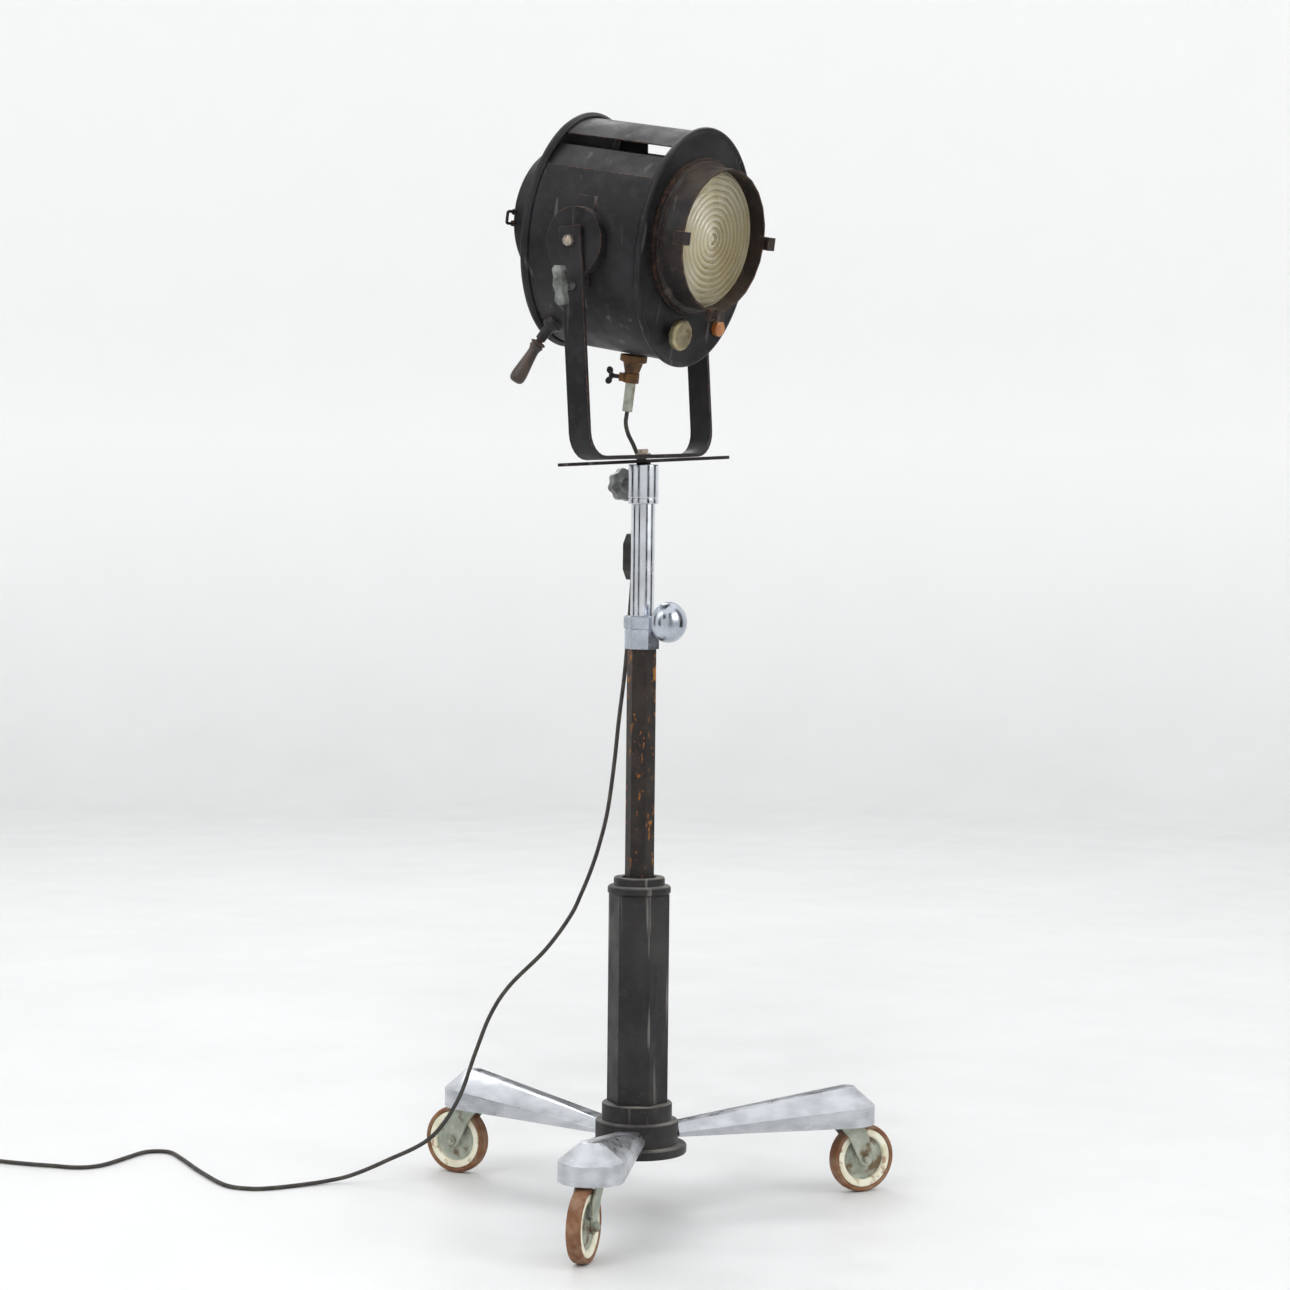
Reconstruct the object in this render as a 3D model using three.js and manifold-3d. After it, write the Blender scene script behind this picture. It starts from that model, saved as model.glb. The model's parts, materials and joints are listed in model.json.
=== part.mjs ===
// A wheeled lighting stand with a Fresnel spotlight on it, in millimetres, +Z up, standing on z = 0.
// Three cast legs on swivel castors carry a hexagonal column; a chrome mast slides in it and is held by
// a clamp knob; the lamp house hangs in a yoke on the mast. The lamp points along -Y and tilts about X.

import * as THREE from "three";
import { ConvexGeometry } from "three/addons/geometries/ConvexGeometry.js";
import { mergeVertices } from "three/addons/utils/BufferGeometryUtils.js";
import Module from "manifold-3d";

const wasm = await Module();
wasm.setup();

// ---------------------------------------------------------------- driving dimensions

// The column's axis stands at the origin while the parts are made. The whole stand is then moved by this
// much, so that the origin ends in the middle of its footprint.
const COLUMN_SHIFT = [25.98, -75.04];

const GAP = 0.3; // between pieces that touch
const COLUMN_TURN = 24.3; // direction of one flat of the hexagonal tubes, in degrees from +X

const WHEEL = { radius: 49.5, rim: 42, width: 21, trail: 30, bore: 4.4 };
const KINGPIN = { radius: 316, top: 144, r: 6 }; // distance from the column, top height, pin radius
const FORK = { crown: 108, crownRadius: 26, cheek: 2.5, halfGap: 12.5 };
const LEG = { inner: 56, innerLow: 100, ridgeLow: 117, low: 102, shoulder: 129, top: 155 };
const SKIRT = { radius: 44.5, ridge: 13, recess: 38, roof: 122 };
const LEGS = [
  { name: "front", turn: 201.7, trail: 196.2 },
  { name: "right", turn: -38.3, trail: -30.1 },
  { name: "left", turn: 81.7, trail: 93.8 },
];

const HUB = { low: 78, plateTop: 91.5, bodyTop: 125, top: 149.5, plate: 70.5, body: 58.5, neck: 49.5 };
const COLUMN = { radius: 43.5, wall: 3, top: 444.5, capTop: 468 };
const TUBE = { radius: 20.8, wall: 1.1, top: 788 };
const CLAMP = { radius: 24.4, capRadius: 26, step: 816, top: 835 };
const HEIGHT_KNOB = { turn: -101.5, z: 827, reach: 52, radius: 28.5, thick: 44, shaft: 5 };

const MAST = { radius: 16.5, bore: 14, low: 354, top: 1044 };
const COLLAR = { radius: 21, low: 991, top: 1046 };
const STAR_KNOB = { turn: 59.5, z: 1018, reach: 52, radius: 24.5, thick: 14, shaft: 4 };

const YOKE_Z = 1048.5; // where the spigot's axis meets the cross bar
const YOKE_LEAN = 3.2; // the spigot is a little bent, so yoke and lamp lean sideways
const LEAN_AXIS_TURN = 212.5;
const YOKE_TURN = -3.5; // how far yoke and lamp are panned at rest
const BAR = { length: 240, width: 30, corner: 9, thick: 4.5, turn: -54 };
const YOKE = { half: 144, thick: 5, width: 35, bend: 35, base: 6, over: 20 };
const TILT_Z = 304; // tilt axis above YOKE_Z
const CLAMP_DROP = 61; // the tilt clamp's screw below the tilt axis
const PIVOT_HOLE = 5.6;

// The lamp house, from its own drum's axis; the pivots sit a little below that axis.
const REST_TILT = 12; // the lamp looks this far down at rest
const HOUSE_LIFT = 8;
const OVAL = 0.8; // the drum, its plates and its door are this much narrower than they are tall
const DRUM = { radius: 158, sheet: 2, front: 102, rear: 93, open: 55.5, cover: 32 };
const RIM = 165; // outer radius of the end plates' beads
const ROOF = { top: 117, half: 88, edge: 126, edgeZ: 86 };
const SNOUT = { z: 16, radius: 98, bore: 95.5, start: 104.8, front: 151 };
const LENS = { radius: 94.2, rings: 4, back: 119, front: 134 };
const ROD = { x: -31, z: -118, r: 7 };
const GLAND = { y: -24, z: -158.6, bore: 7.6 };
const WING_TURN = 122; // direction of the clamp ring's wing screw
const CORD_TUBE = { radius: 7.2, bore: 4, end: -239 };
const DOOR = { radius: 98, flange: 106, depth: 60 };
const HANDLE = { turn: 235, y: 68, neck: 30, length: 66 };

const CORD = 6; // cord diameter
const SWITCH = { centre: [22.9, 31.6], turn: 79, low: 884, high: 949, half: 12, thick: 16 };
const PLUG = { turn: 122, tail: 30 }; // the plug's direction, and the cord between coil and plug
const COIL = { centre: [-340, 990], radius: 33, thick: 12 };

// ---------------------------------------------------------------- finishes

const FINISHES = {
  paint: { color: 0x262527, roughness: 0.6, metalness: 0.2 },
  column: { color: 0x343231, roughness: 0.7, metalness: 0.2 },
  flaked: { color: 0x2e2824, roughness: 0.65, metalness: 0.2 },
  chrome: { color: 0xd8dce0, roughness: 0.15, metalness: 1 },
  cast: { color: 0xbec3c8, roughness: 0.4, metalness: 1 },
  zinc: { color: 0xa5aa9b, roughness: 0.5, metalness: 0.8 },
  brass: { color: 0x96743a, roughness: 0.4, metalness: 1 },
  nickel: { color: 0x968c6e, roughness: 0.3, metalness: 1 },
  amber: { color: 0xc88232, roughness: 0.35, metalness: 0.6 },
  glass: { color: 0xf0ead0, roughness: 0.1, metalness: 0 },
  bulb: { color: 0xfaf8f0, roughness: 0.1, metalness: 0 },
  mirror: { color: 0xe6e8ea, roughness: 0.05, metalness: 1 },
  wood: { color: 0x413a37, roughness: 0.5, metalness: 0 },
  tyre: { color: 0x965a32, roughness: 0.8, metalness: 0 },
  cream: { color: 0xf0eed7, roughness: 0.6, metalness: 0 },
  plastic: { color: 0x1c1b1b, roughness: 0.4, metalness: 0 },
  red: { color: 0xa02a20, roughness: 0.4, metalness: 0 },
  cord: { color: 0x3c3934, roughness: 0.7, metalness: 0 },
};

// ---------------------------------------------------------------- geometry helpers

const radians = THREE.MathUtils.degToRad;
const X = new THREE.Vector3(1, 0, 0);
const Y = new THREE.Vector3(0, 1, 0);
const Z = new THREE.Vector3(0, 0, 1);

// How an outline's own plane and its depth lie for an extrusion along each axis.
const PLANES = {
  x: new THREE.Matrix4().makeBasis(Y, Z, X),
  y: new THREE.Matrix4().makeBasis(X, Z, Y.clone().negate()),
  z: new THREE.Matrix4(),
};

function solidOf(geometry) {
  const bare = geometry.clone();
  bare.deleteAttribute("normal");
  bare.deleteAttribute("uv");
  const merged = mergeVertices(bare, 1e-4);
  return new wasm.Manifold(
    new wasm.Mesh({
      numProp: 3,
      vertProperties: merged.attributes.position.array,
      triVerts: new Uint32Array(merged.index.array),
    }),
  );
}

function geometryOf(solid) {
  const mesh = solid.getMesh();
  const geometry = new THREE.BufferGeometry();
  geometry.setAttribute("position", new THREE.BufferAttribute(mesh.vertProperties, 3));
  geometry.setIndex(new THREE.BufferAttribute(mesh.triVerts, 1));
  geometry.computeVertexNormals();
  return geometry;
}

function join(...geometries) {
  return geometryOf(geometries.map(solidOf).reduce((a, b) => a.add(b)));
}

function cut(geometry, ...tools) {
  return geometryOf(tools.map(solidOf).reduce((a, b) => a.subtract(b), solidOf(geometry)));
}

// A point at a distance and direction from the column's axis.
function polar(distance, turn, z = 0) {
  return [distance * Math.cos(radians(turn)), distance * Math.sin(radians(turn)), z];
}

function shapeOf(points, ...holes) {
  const shape = new THREE.Shape(points.map(([a, b]) => new THREE.Vector2(a, b)));
  shape.holes = holes.map((hole) => new THREE.Path(hole.map(([a, b]) => new THREE.Vector2(a, b))));
  return shape;
}

function polygon(sides, radius, first = 0, centre = [0, 0]) {
  return Array.from({ length: sides }, (_, i) => {
    const [a, b] = polar(radius, first + (360 * i) / sides);
    return [centre[0] + a, centre[1] + b];
  });
}

// Points on an arc, both ends included.
function arc(centre, radius, from, to, steps) {
  return Array.from({ length: steps + 1 }, (_, i) => {
    const [a, b] = polar(radius, from + ((to - from) * i) / steps);
    return [centre[0] + a, centre[1] + b];
  });
}

// An outline extruded between two places on an axis: x reads it as (y, z), y as (x, z), z as (x, y).
function extrude(shape, axis, from, to) {
  const geometry = new THREE.ExtrudeGeometry(shape, { depth: to - from, bevelEnabled: false });
  geometry.translate(0, 0, axis === "y" ? -to : from);
  return geometry.applyMatrix4(PLANES[axis]);
}

// A profile of [radius, height] points turned about an axis; on the outside it runs from low to high.
function turned(profile, { sides = 32, first = 0, at = [0, 0, 0], axis = [0, 0, 1] } = {}) {
  const points = profile.map(([r, h]) => new THREE.Vector2(r, h));
  const geometry = new THREE.LatheGeometry(points, sides, radians(first));
  const direction = new THREE.Vector3(...axis).normalize();
  geometry.applyQuaternion(new THREE.Quaternion().setFromUnitVectors(Y, direction));
  return geometry.translate(...at);
}

function rod(radius, from, to, sides = 24, endRadius = radius) {
  const axis = new THREE.Vector3(...to).sub(new THREE.Vector3(...from));
  const length = axis.length();
  const profile = [[0, 0], [radius, 0], [endRadius, length], [0, length]];
  return turned(profile, { sides, at: from, axis: axis.toArray() });
}

function box(low, high) {
  const outline = [[low[0], low[1]], [high[0], low[1]], [high[0], high[1]], [low[0], high[1]]];
  return extrude(shapeOf(outline), "z", low[2], high[2]);
}

// The outline of a strip of sheet that follows a line of points.
function ribbon(points, thick) {
  const line = points.map(([a, b]) => new THREE.Vector2(a, b));
  const offset = line.map((point, i) => {
    const before = point.clone().sub(line[Math.max(i - 1, 0)]).normalize();
    const after = line[Math.min(i + 1, line.length - 1)].clone().sub(point).normalize();
    const along = before.clone().add(after).normalize();
    const side = new THREE.Vector2(-along.y, along.x);
    const reach = thick / 2 / Math.max(Math.abs(side.dot(new THREE.Vector2(-after.y, after.x))) ||
      Math.abs(side.dot(new THREE.Vector2(-before.y, before.x))), 0.5);
    return side.multiplyScalar(reach);
  });
  const left = line.map((point, i) => point.clone().add(offset[i]).toArray());
  const right = line.map((point, i) => point.clone().sub(offset[i]).toArray());
  return shapeOf([...left, ...right.reverse()]);
}

// A round cord through hand-chosen points, as a plain tube of eight sides.
function cordTube(points, steps) {
  const path = new THREE.CatmullRomCurve3(points.map((point) => new THREE.Vector3(...point)));
  const section = shapeOf(polygon(8, CORD / 2));
  return new THREE.ExtrudeGeometry(section, { steps, extrudePath: path, bevelEnabled: false });
}

// ---------------------------------------------------------------- the scene graph

const stand = new THREE.Group();
stand.position.set(...COLUMN_SHIFT, 0);

const yokeGroup = new THREE.Group();
yokeGroup.position.set(0, 0, YOKE_Z);
yokeGroup.quaternion.setFromAxisAngle(new THREE.Vector3(...polar(1, LEAN_AXIS_TURN)), radians(YOKE_LEAN));
yokeGroup.quaternion.multiply(new THREE.Quaternion().setFromAxisAngle(Z, radians(YOKE_TURN)));
stand.add(yokeGroup);

const headGroup = new THREE.Group();
headGroup.position.set(0, 0, TILT_Z);
headGroup.rotation.x = radians(REST_TILT);
yokeGroup.add(headGroup);

const house = new THREE.Group();
house.position.set(0, 0, HOUSE_LIFT);
headGroup.add(house);

function part(group, name, finish, geometry) {
  const mesh = new THREE.Mesh(geometry, new THREE.MeshStandardMaterial(FINISHES[finish]));
  mesh.name = name;
  group.add(mesh);
  return mesh;
}

// ---------------------------------------------------------------- base

function makeHub() {
  const { low, plateTop, bodyTop, top, plate, body, neck } = HUB;
  const profile = [
    [0, low], [plate - 2, low], [plate, low + 2], [plate, plateTop - 2], [plate - 2, plateTop],
    [body, plateTop], [body, bodyTop - 2], [body - 2, bodyTop], [neck, bodyTop],
    [neck, top - 1.5], [neck - 1.5, top], [0, top],
  ];
  part(stand, "hub", "column", turned(profile, { sides: 24 }));
}

// A leg in its own frame: +X outwards, its castor's pin at KINGPIN.radius.
function legGeometry() {
  const { inner, innerLow, ridgeLow, low, shoulder, top } = LEG;
  const pin = [KINGPIN.radius, 0];
  const at = (outline, z) => outline.map(([x, y]) => new THREE.Vector3(x, y, z));
  const root = [[inner, -22.5], [inner, 22.5]];
  const skirt = arc(pin, SKIRT.radius, -90, 90, 8);
  const body = new ConvexGeometry([
    ...at(root, innerLow),
    ...at(root, innerLow + 6),
    ...at([[inner, -SKIRT.ridge], [inner, SKIRT.ridge]], ridgeLow),
    ...at(skirt, low),
    ...at(skirt, shoulder),
    ...at(arc([KINGPIN.radius + 2, 0], SKIRT.ridge, -90, 90, 6), top),
  ]);
  const recess = rod(SKIRT.recess, [...pin, 90], [...pin, SKIRT.roof], 20);
  const socket = rod(KINGPIN.r + 0.7, [...pin, SKIRT.roof - 2], [...pin, KINGPIN.top + 2], 12);
  const seat = rod(HUB.body + GAP * 2, [0, 0, 90], [0, 0, 140], 32);
  return cut(body, recess, socket, seat);
}

function makeLegs() {
  for (const { name, turn } of LEGS) {
    const leg = part(stand, `leg_${name}`, "cast", legGeometry());
    leg.rotation.z = radians(turn);
  }
}

// ---------------------------------------------------------------- castors

// A castor in its own frame: the pin's axis at the origin, the wheel trailing along +X.
function forkGeometry() {
  const { crown, crownRadius, cheek, halfGap } = FORK;
  const outline = [
    [-21, crown + 1], [-16, crown - 7], [2, crown - 27],
    ...arc([WHEEL.trail, WHEEL.radius], 11, 200, 375, 6), [34, crown - 25], [23, crown - 8],
    [21, crown + 1],
  ];
  const hole = rod(WHEEL.bore, [WHEEL.trail, -20, WHEEL.radius], [WHEEL.trail, 20, WHEEL.radius], 8);
  const near = extrude(shapeOf(outline), "y", -halfGap - cheek, -halfGap);
  const far = extrude(shapeOf(outline), "y", halfGap, halfGap + cheek);
  const plate = [
    [0, crown], [crownRadius, crown], [crownRadius, crown + 3], [14, crown + 4.5], [14, crown + 11],
    [KINGPIN.r, crown + 11], [KINGPIN.r, KINGPIN.top], [0, KINGPIN.top],
  ];
  return cut(join(turned(plate, { sides: 16 }), near, far), hole);
}

function axleGeometry() {
  const at = [WHEEL.trail, 0, WHEEL.radius];
  const outer = FORK.halfGap + FORK.cheek + GAP;
  const profile = [
    [0, -outer - 5], [7, -outer - 5], [7, -outer], [4, -outer], [4, outer],
    [7, outer], [7, outer + 5], [4, outer + 5], [4, outer + 7], [0, outer + 7],
  ];
  return turned(profile, { sides: 6, at, axis: [0, 1, 0] });
}

function wheelGeometry() {
  const { bore, rim, width } = WHEEL;
  const profile = [
    [bore, -12], [10, -12], [14, -7], [rim - GAP, -width / 2 + 1.5],
    [rim - GAP, width / 2 - 1.5], [14, 7], [10, 12], [bore, 12], [bore, -12],
  ];
  return turned(profile, { sides: 16, at: [WHEEL.trail, 0, WHEEL.radius], axis: [0, 1, 0] });
}

function tyreGeometry() {
  const { rim, radius, width } = WHEEL;
  const side = width / 2;
  const profile = [
    [rim + GAP, -side + 1.5], [radius - 5, -side], [radius, -side + 5],
    [radius, side - 5], [radius - 5, side], [rim + GAP, side - 1.5], [rim + GAP, -side + 1.5],
  ];
  return turned(profile, { sides: 24, at: [WHEEL.trail, 0, WHEEL.radius], axis: [0, 1, 0] });
}

function makeCastors() {
  for (const { name, turn, trail } of LEGS) {
    const castor = new THREE.Group();
    castor.position.set(...polar(KINGPIN.radius, turn));
    castor.rotation.z = radians(trail);
    stand.add(castor);
    part(castor, `castor_fork_${name}`, "zinc", forkGeometry());
    part(castor, `axle_bolt_${name}`, "zinc", axleGeometry());
    part(castor, `wheel_centre_${name}`, "cream", wheelGeometry());
    part(castor, `tyre_${name}`, "tyre", tyreGeometry());
  }
}

// ---------------------------------------------------------------- column and mast

// The first corner of a hexagonal tube, and the turn that brings a lathe's first corner there.
const CORNER = COLUMN_TURN + 30;
const LATHE_CORNER = CORNER + 90;

function hexTube(radius, wall, low, high) {
  const inside = polygon(6, radius - wall / Math.cos(radians(30)), CORNER);
  return extrude(shapeOf(polygon(6, radius, CORNER), inside), "z", low, high);
}

function makeColumn() {
  const { radius, wall, top, capTop } = COLUMN;
  part(stand, "base_column", "column", hexTube(radius, wall, HUB.top + GAP, top));
  const hole = extrude(shapeOf(polygon(6, TUBE.radius + GAP * 2, CORNER)), "z", top - 5, capTop + 5);
  const cap = [
    [0, top + GAP], [43, top + GAP], [44.5, top + 2], [44.5, top + 9], [42.5, top + 11.5],
    [36, top + 12], [36, capTop - 2], [34.5, capTop], [0, capTop],
  ];
  part(stand, "column_cap", "column", cut(turned(cap, { sides: 24 }), hole));
  part(stand, "hex_tube", "flaked", hexTube(TUBE.radius, TUBE.wall, HUB.top + GAP, TUBE.top));
}

function makeClamp() {
  const { radius, capRadius, step, top } = CLAMP;
  const low = TUBE.top + GAP;
  const profile = [
    [0, low], [radius, low], [radius, step - 2], [radius - 1, step], [capRadius, step + 1],
    [capRadius, top - 2], [capRadius - 2, top], [0, top],
  ];
  const bore = rod(MAST.radius + 2 * GAP, [0, 0, low - 5], [0, 0, top + 5], 20);
  const { turn, z, reach, radius: knob, thick, shaft } = HEIGHT_KNOB;
  const screwHole = rod(shaft + 2 * GAP, polar(0, turn, z), polar(40, turn, z), 10);
  const body = turned(profile, { sides: 6, first: LATHE_CORNER });
  part(stand, "clamp_collar", "chrome", cut(body, bore, screwHole));

  const start = MAST.radius + 0.7;
  const back = reach - thick / 2 - start;
  const rounded = arc([0, 0], 1, -60, 90, 7).map(([r, h]) => [
    r * knob,
    back + thick / 2 + (h * thick) / 2,
  ]);
  const dome = [[0, 0], [shaft, 0], [shaft, back], [9, back], ...rounded];
  dome[dome.length - 1][0] = 0;
  const options = { sides: 20, at: polar(start, turn, z), axis: polar(1, turn) };
  part(stand, "height_knob", "chrome", turned(dome, options));
}

function makeMast() {
  const screw = (distance) => {
    const { turn, z, shaft } = STAR_KNOB;
    return rod(shaft + 2 * GAP, polar(5, turn, z), polar(distance, turn, z), 10);
  };
  const wall = ({ radius, bore, low, top }) => {
    const profile = [[bore, low], [radius, low], [radius, top], [bore, top], [bore, low]];
    return turned(profile, { sides: 20 });
  };
  part(stand, "mast_tube", "chrome", cut(wall(MAST), screw(30)));
  part(stand, "top_collar", "chrome", cut(wall({ ...COLLAR, bore: MAST.radius + GAP }), screw(40)));
}

function makeStarKnob() {
  const { turn, z, reach, radius, thick, shaft } = STAR_KNOB;
  const lobes = Array.from({ length: 40 }, (_, i) => {
    const angle = 9 * i;
    return polar(radius - 1.8 + 1.8 * Math.cos(radians(8 * angle)), angle).slice(0, 2);
  });
  const star = extrude(shapeOf(lobes), "z", 0, thick);
  const ring = rod(11, [0, 0, -4], [0, 0, 1], 16);
  const screw = rod(shaft, [0, 0, MAST.bore + 0.4 - reach], [0, 0, 1], 10);
  const knob = join(star, ring, screw);
  knob.applyQuaternion(new THREE.Quaternion().setFromUnitVectors(Z, new THREE.Vector3(...polar(1, turn))));
  knob.translate(...polar(reach, turn, z));
  part(stand, "star_knob", "zinc", knob);
}

// ---------------------------------------------------------------- yoke, from the cross bar up

function makeYoke() {
  const { length, width, corner, thick, turn } = BAR;
  const along = length / 2 - corner;
  const across = width / 2 - corner;
  const outline = [
    ...arc([along, across], corner, 0, 90, 3), ...arc([-along, across], corner, 90, 180, 3),
    ...arc([-along, -across], corner, 180, 270, 3), ...arc([along, -across], corner, 270, 360, 3),
  ];
  const bar = extrude(shapeOf(outline), "z", 0, thick);
  bar.rotateZ(radians(turn));
  const bolt = rod(4.4, [0, 0, -20], [0, 0, 20], 12);
  const spigot = rod(10, [0, 0, -56], [0, 0, 1], 20);
  part(yokeGroup, "cross_bar", "paint", cut(join(bar, spigot), bolt));

  const { half, bend, base, over, width: arm, thick: sheet } = YOKE;
  const low = base + sheet / 2;
  const line = [
    [-half, TILT_Z + over], ...arc([-half + bend, low + bend], bend, 180, 270, 6),
    ...arc([half - bend, low + bend], bend, 270, 360, 6), [half, TILT_Z + over],
  ];
  const flat = extrude(ribbon(line, sheet), "y", -arm / 2, arm / 2);
  const pivots = rod(PIVOT_HOLE, [-half - 20, 0, TILT_Z], [half + 20, 0, TILT_Z], 20);
  const clamp = rod(4.4, [-half - 20, 0, TILT_Z - CLAMP_DROP], [0, 0, TILT_Z - CLAMP_DROP], 12);
  part(yokeGroup, "yoke", "paint", cut(flat, bolt, pivots, clamp));

  const top = base + sheet;
  const shank = rod(4, [0, 0, -14], [0, 0, top + 1], 12);
  const washer = rod(11, [0, 0, top + GAP], [0, 0, top + 2], 16);
  const boltHead = rod(8, [0, 0, top + 1.9], [0, 0, top + 8], 6);
  part(yokeGroup, "yoke_bolt", "zinc", join(shank, washer, boltHead));
}

// A shoe that a T-handled screw presses against the near friction disc.
function makeTiltClamp() {
  const { half, thick } = YOKE;
  const inner = half - thick / 2;
  const outer = half + thick / 2;
  const z = TILT_Z - CLAMP_DROP;
  const shoe = [[-12, z - 12], [12, z - 12], [12, z + 26], [-12, z + 26]];
  part(yokeGroup, "brake_shoe", "paint", extrude(shapeOf(shoe), "x", -inner + GAP, -inner + 2.3));

  const screw = rod(4, [-inner - 0.1, 0, z], [-outer - 22, 0, z], 10);
  const boss = rod(6.5, [-outer - GAP, 0, z], [-outer - 12, 0, z], 12);
  const outline = [
    [-8, z - 26], [2, z - 27], [7, z - 21], [5, z - 10], [9, z], [7, z + 12], [9, z + 22],
    [4, z + 27], [-5, z + 26], [-8, z + 19], [-6, z + 10], [-9, z], [-7, z - 10], [-9, z - 20],
  ];
  const grip = extrude(shapeOf(outline), "x", -outer - 32, -outer - 20);
  part(yokeGroup, "tilt_handle", "cast", join(screw, boss, grip));
}

// ---------------------------------------------------------------- lamp house

// The cross section of a sheet bent about the drum's axis.
function sheetArc(radius, thick, from, to, steps) {
  const outside = arc([0, 0], radius, from, to, steps);
  return shapeOf([...outside, ...arc([0, 0], radius - thick, to, from, steps)]);
}

function oval(geometry) {
  return geometry.scale(OVAL, 1, 1);
}

function makeDrum() {
  const { radius, sheet, front, rear, open, cover } = DRUM;
  const shell = oval(extrude(sheetArc(radius, sheet, 90 - open, -270 + open, 30), "y", -front, rear));
  const pivots = rod(PIVOT_HOLE, [-200, 0, -HOUSE_LIFT], [200, 0, -HOUSE_LIFT], 20);
  const cordHole = rod(8, [0, GLAND.y, -200], [0, GLAND.y, -100], 20);
  part(house, "drum_shell", "paint", cut(shell, pivots, cordHole));

  const lid = extrude(sheetArc(radius, sheet, 90 - cover, 90 + cover, 10), "y", -front, rear);
  const foot = ROOF.top + sheet / 2 + GAP;
  const stay = extrude(shapeOf([[-5, foot], [45, foot], [40, radius - 1], [0, radius - 1]]), "x", -1.2, 1.2);
  part(house, "vent_cover", "paint", oval(join(lid, stay)));

  const { top, half, edge, edgeZ } = ROOF;
  const roofLine = [[-edge, edgeZ], [-half, top], [half, top], [edge, edgeZ]];
  const roof = extrude(ribbon(roofLine, sheet), "y", -front, rear);
  const slots = [-45, 45].map((x) => box([x - 10, -60, top - 10], [x + 10, 55, top + 10]));
  part(house, "vent_roof", "paint", oval(cut(roof, ...slots)));
}

// A pressed end plate: a short lip over the drum's edge, a rolled bead and a flat face.
function plateGeometry(from, direction) {
  const lip = DRUM.radius + 1.2;
  const profile = [
    [0, 0.4], [lip, 0.4], [lip, -6], [lip + 1.6, -6], [RIM, -1],
    [RIM, 3.5], [RIM - 3, 5.5], [RIM - 8, 2.5], [0, 2.5],
  ].map(([r, h]) => [r, from + h]);
  return oval(turned(profile, { sides: 32, axis: direction }));
}

function makePlates() {
  const { front, rear } = DRUM;
  const lightHole = rod(90, [0, 0, SNOUT.z], [0, -200, SNOUT.z], 28);
  const rodHole = rod(ROD.r + GAP, [ROD.x, 0, ROD.z], [ROD.x, -200, ROD.z], 12);
  part(house, "front_plate", "paint", cut(plateGeometry(front, [0, -1, 0]), lightHole, rodHole));
  const doorHole = rod(DOOR.radius - 6, [0, 0, SNOUT.z], [0, 200, SNOUT.z], 28);
  part(house, "rear_plate", "paint", cut(plateGeometry(rear, [0, 1, 0]), doorHole));
}

function makeSnout() {
  const { z, radius, bore, start, front } = SNOUT;
  const wall = [
    [91, start], [108, start], [108, start + 4], [104, start + 4], [104, start + 9],
    [radius, start + 11], [radius, front], [bore, front], [bore, LENS.back - GAP],
    [91, LENS.back - GAP], [91, start],
  ];
  const tube = turned(wall, { sides: 24, at: [0, 0, z], axis: [0, -1, 0] });
  const clip = (turn) => {
    const outline = [[-9, 0], [9, 0], [9, 16], [-9, 16]];
    const tab = extrude(shapeOf(outline), "y", -front - 10, -front + 7);
    const slot = box([-15, -front - 7, -1], [15, -front - 1, 13]);
    const geometry = cut(tab, slot);
    geometry.translate(0, 0, radius - 4);
    geometry.rotateY(radians(turn));
    return geometry.translate(0, 0, z);
  };
  part(house, "snout", "paint", join(tube, clip(90), clip(-90), clip(180)));
}

// A Fresnel lens: a flat back and a ridged front.
function makeLens() {
  const { radius, rings, back, front } = LENS;
  const step = radius / rings;
  const profile = [[0, back], [radius, back]];
  for (let i = rings; i > 0; i -= 1) {
    profile.push([i * step, front - 4]);
    profile.push([Math.max((i - 1) * step, 0), front]);
  }
  part(house, "lens", "glass", turned(profile, { sides: 24, at: [0, 0, SNOUT.z], axis: [0, -1, 0] }));
}

// On each side a strap and a friction disc on the drum, and the bolt through them and the yoke's arm.
function makePivots() {
  const { half, thick } = YOKE;
  const outer = half + thick / 2;
  const discFace = half - thick / 2 - 2.9;
  const { radius } = DRUM;
  const z = -HOUSE_LIFT;
  const drop = THREE.MathUtils.radToDeg(Math.asin(HOUSE_LIFT / radius));
  const span = THREE.MathUtils.radToDeg(Math.asin(CLAMP_DROP / radius));
  const clear = oval(rod(radius + GAP, [0, -60, 0], [0, 60, 0], 60));
  for (const [name, side] of [["near", -1], ["far", 1]]) {
    const middle = side < 0 ? 180 + drop : -drop;
    const strap = oval(extrude(sheetArc(radius + 2.9, 2.2, middle - span, middle + span, 8), "y", -19, 14));
    const disc = rod(47, [side * 100, 0, z], [side * discFace, 0, z], 28);
    const hole = rod(PIVOT_HOLE, [side * 90, 0, z], [side * 200, 0, z], 20);
    part(house, `pivot_plate_${name}`, "paint", cut(join(strap, disc), hole, clear));

    const seat = (radius - DRUM.sheet) * OVAL - 7;
    const nut = outer + 0.4 - seat;
    const profile = [
      [0, 0], [10, 0], [10, 6], [5, 6], [5, nut], [8, nut], [8, nut + 6], [6, nut + 9], [0, nut + 10],
    ];
    const options = { sides: 8, at: [side * seat, 0, z], axis: [side, 0, 0] };
    part(house, `pivot_bolt_${name}`, "brass", turned(profile, options));
  }
}

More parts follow.
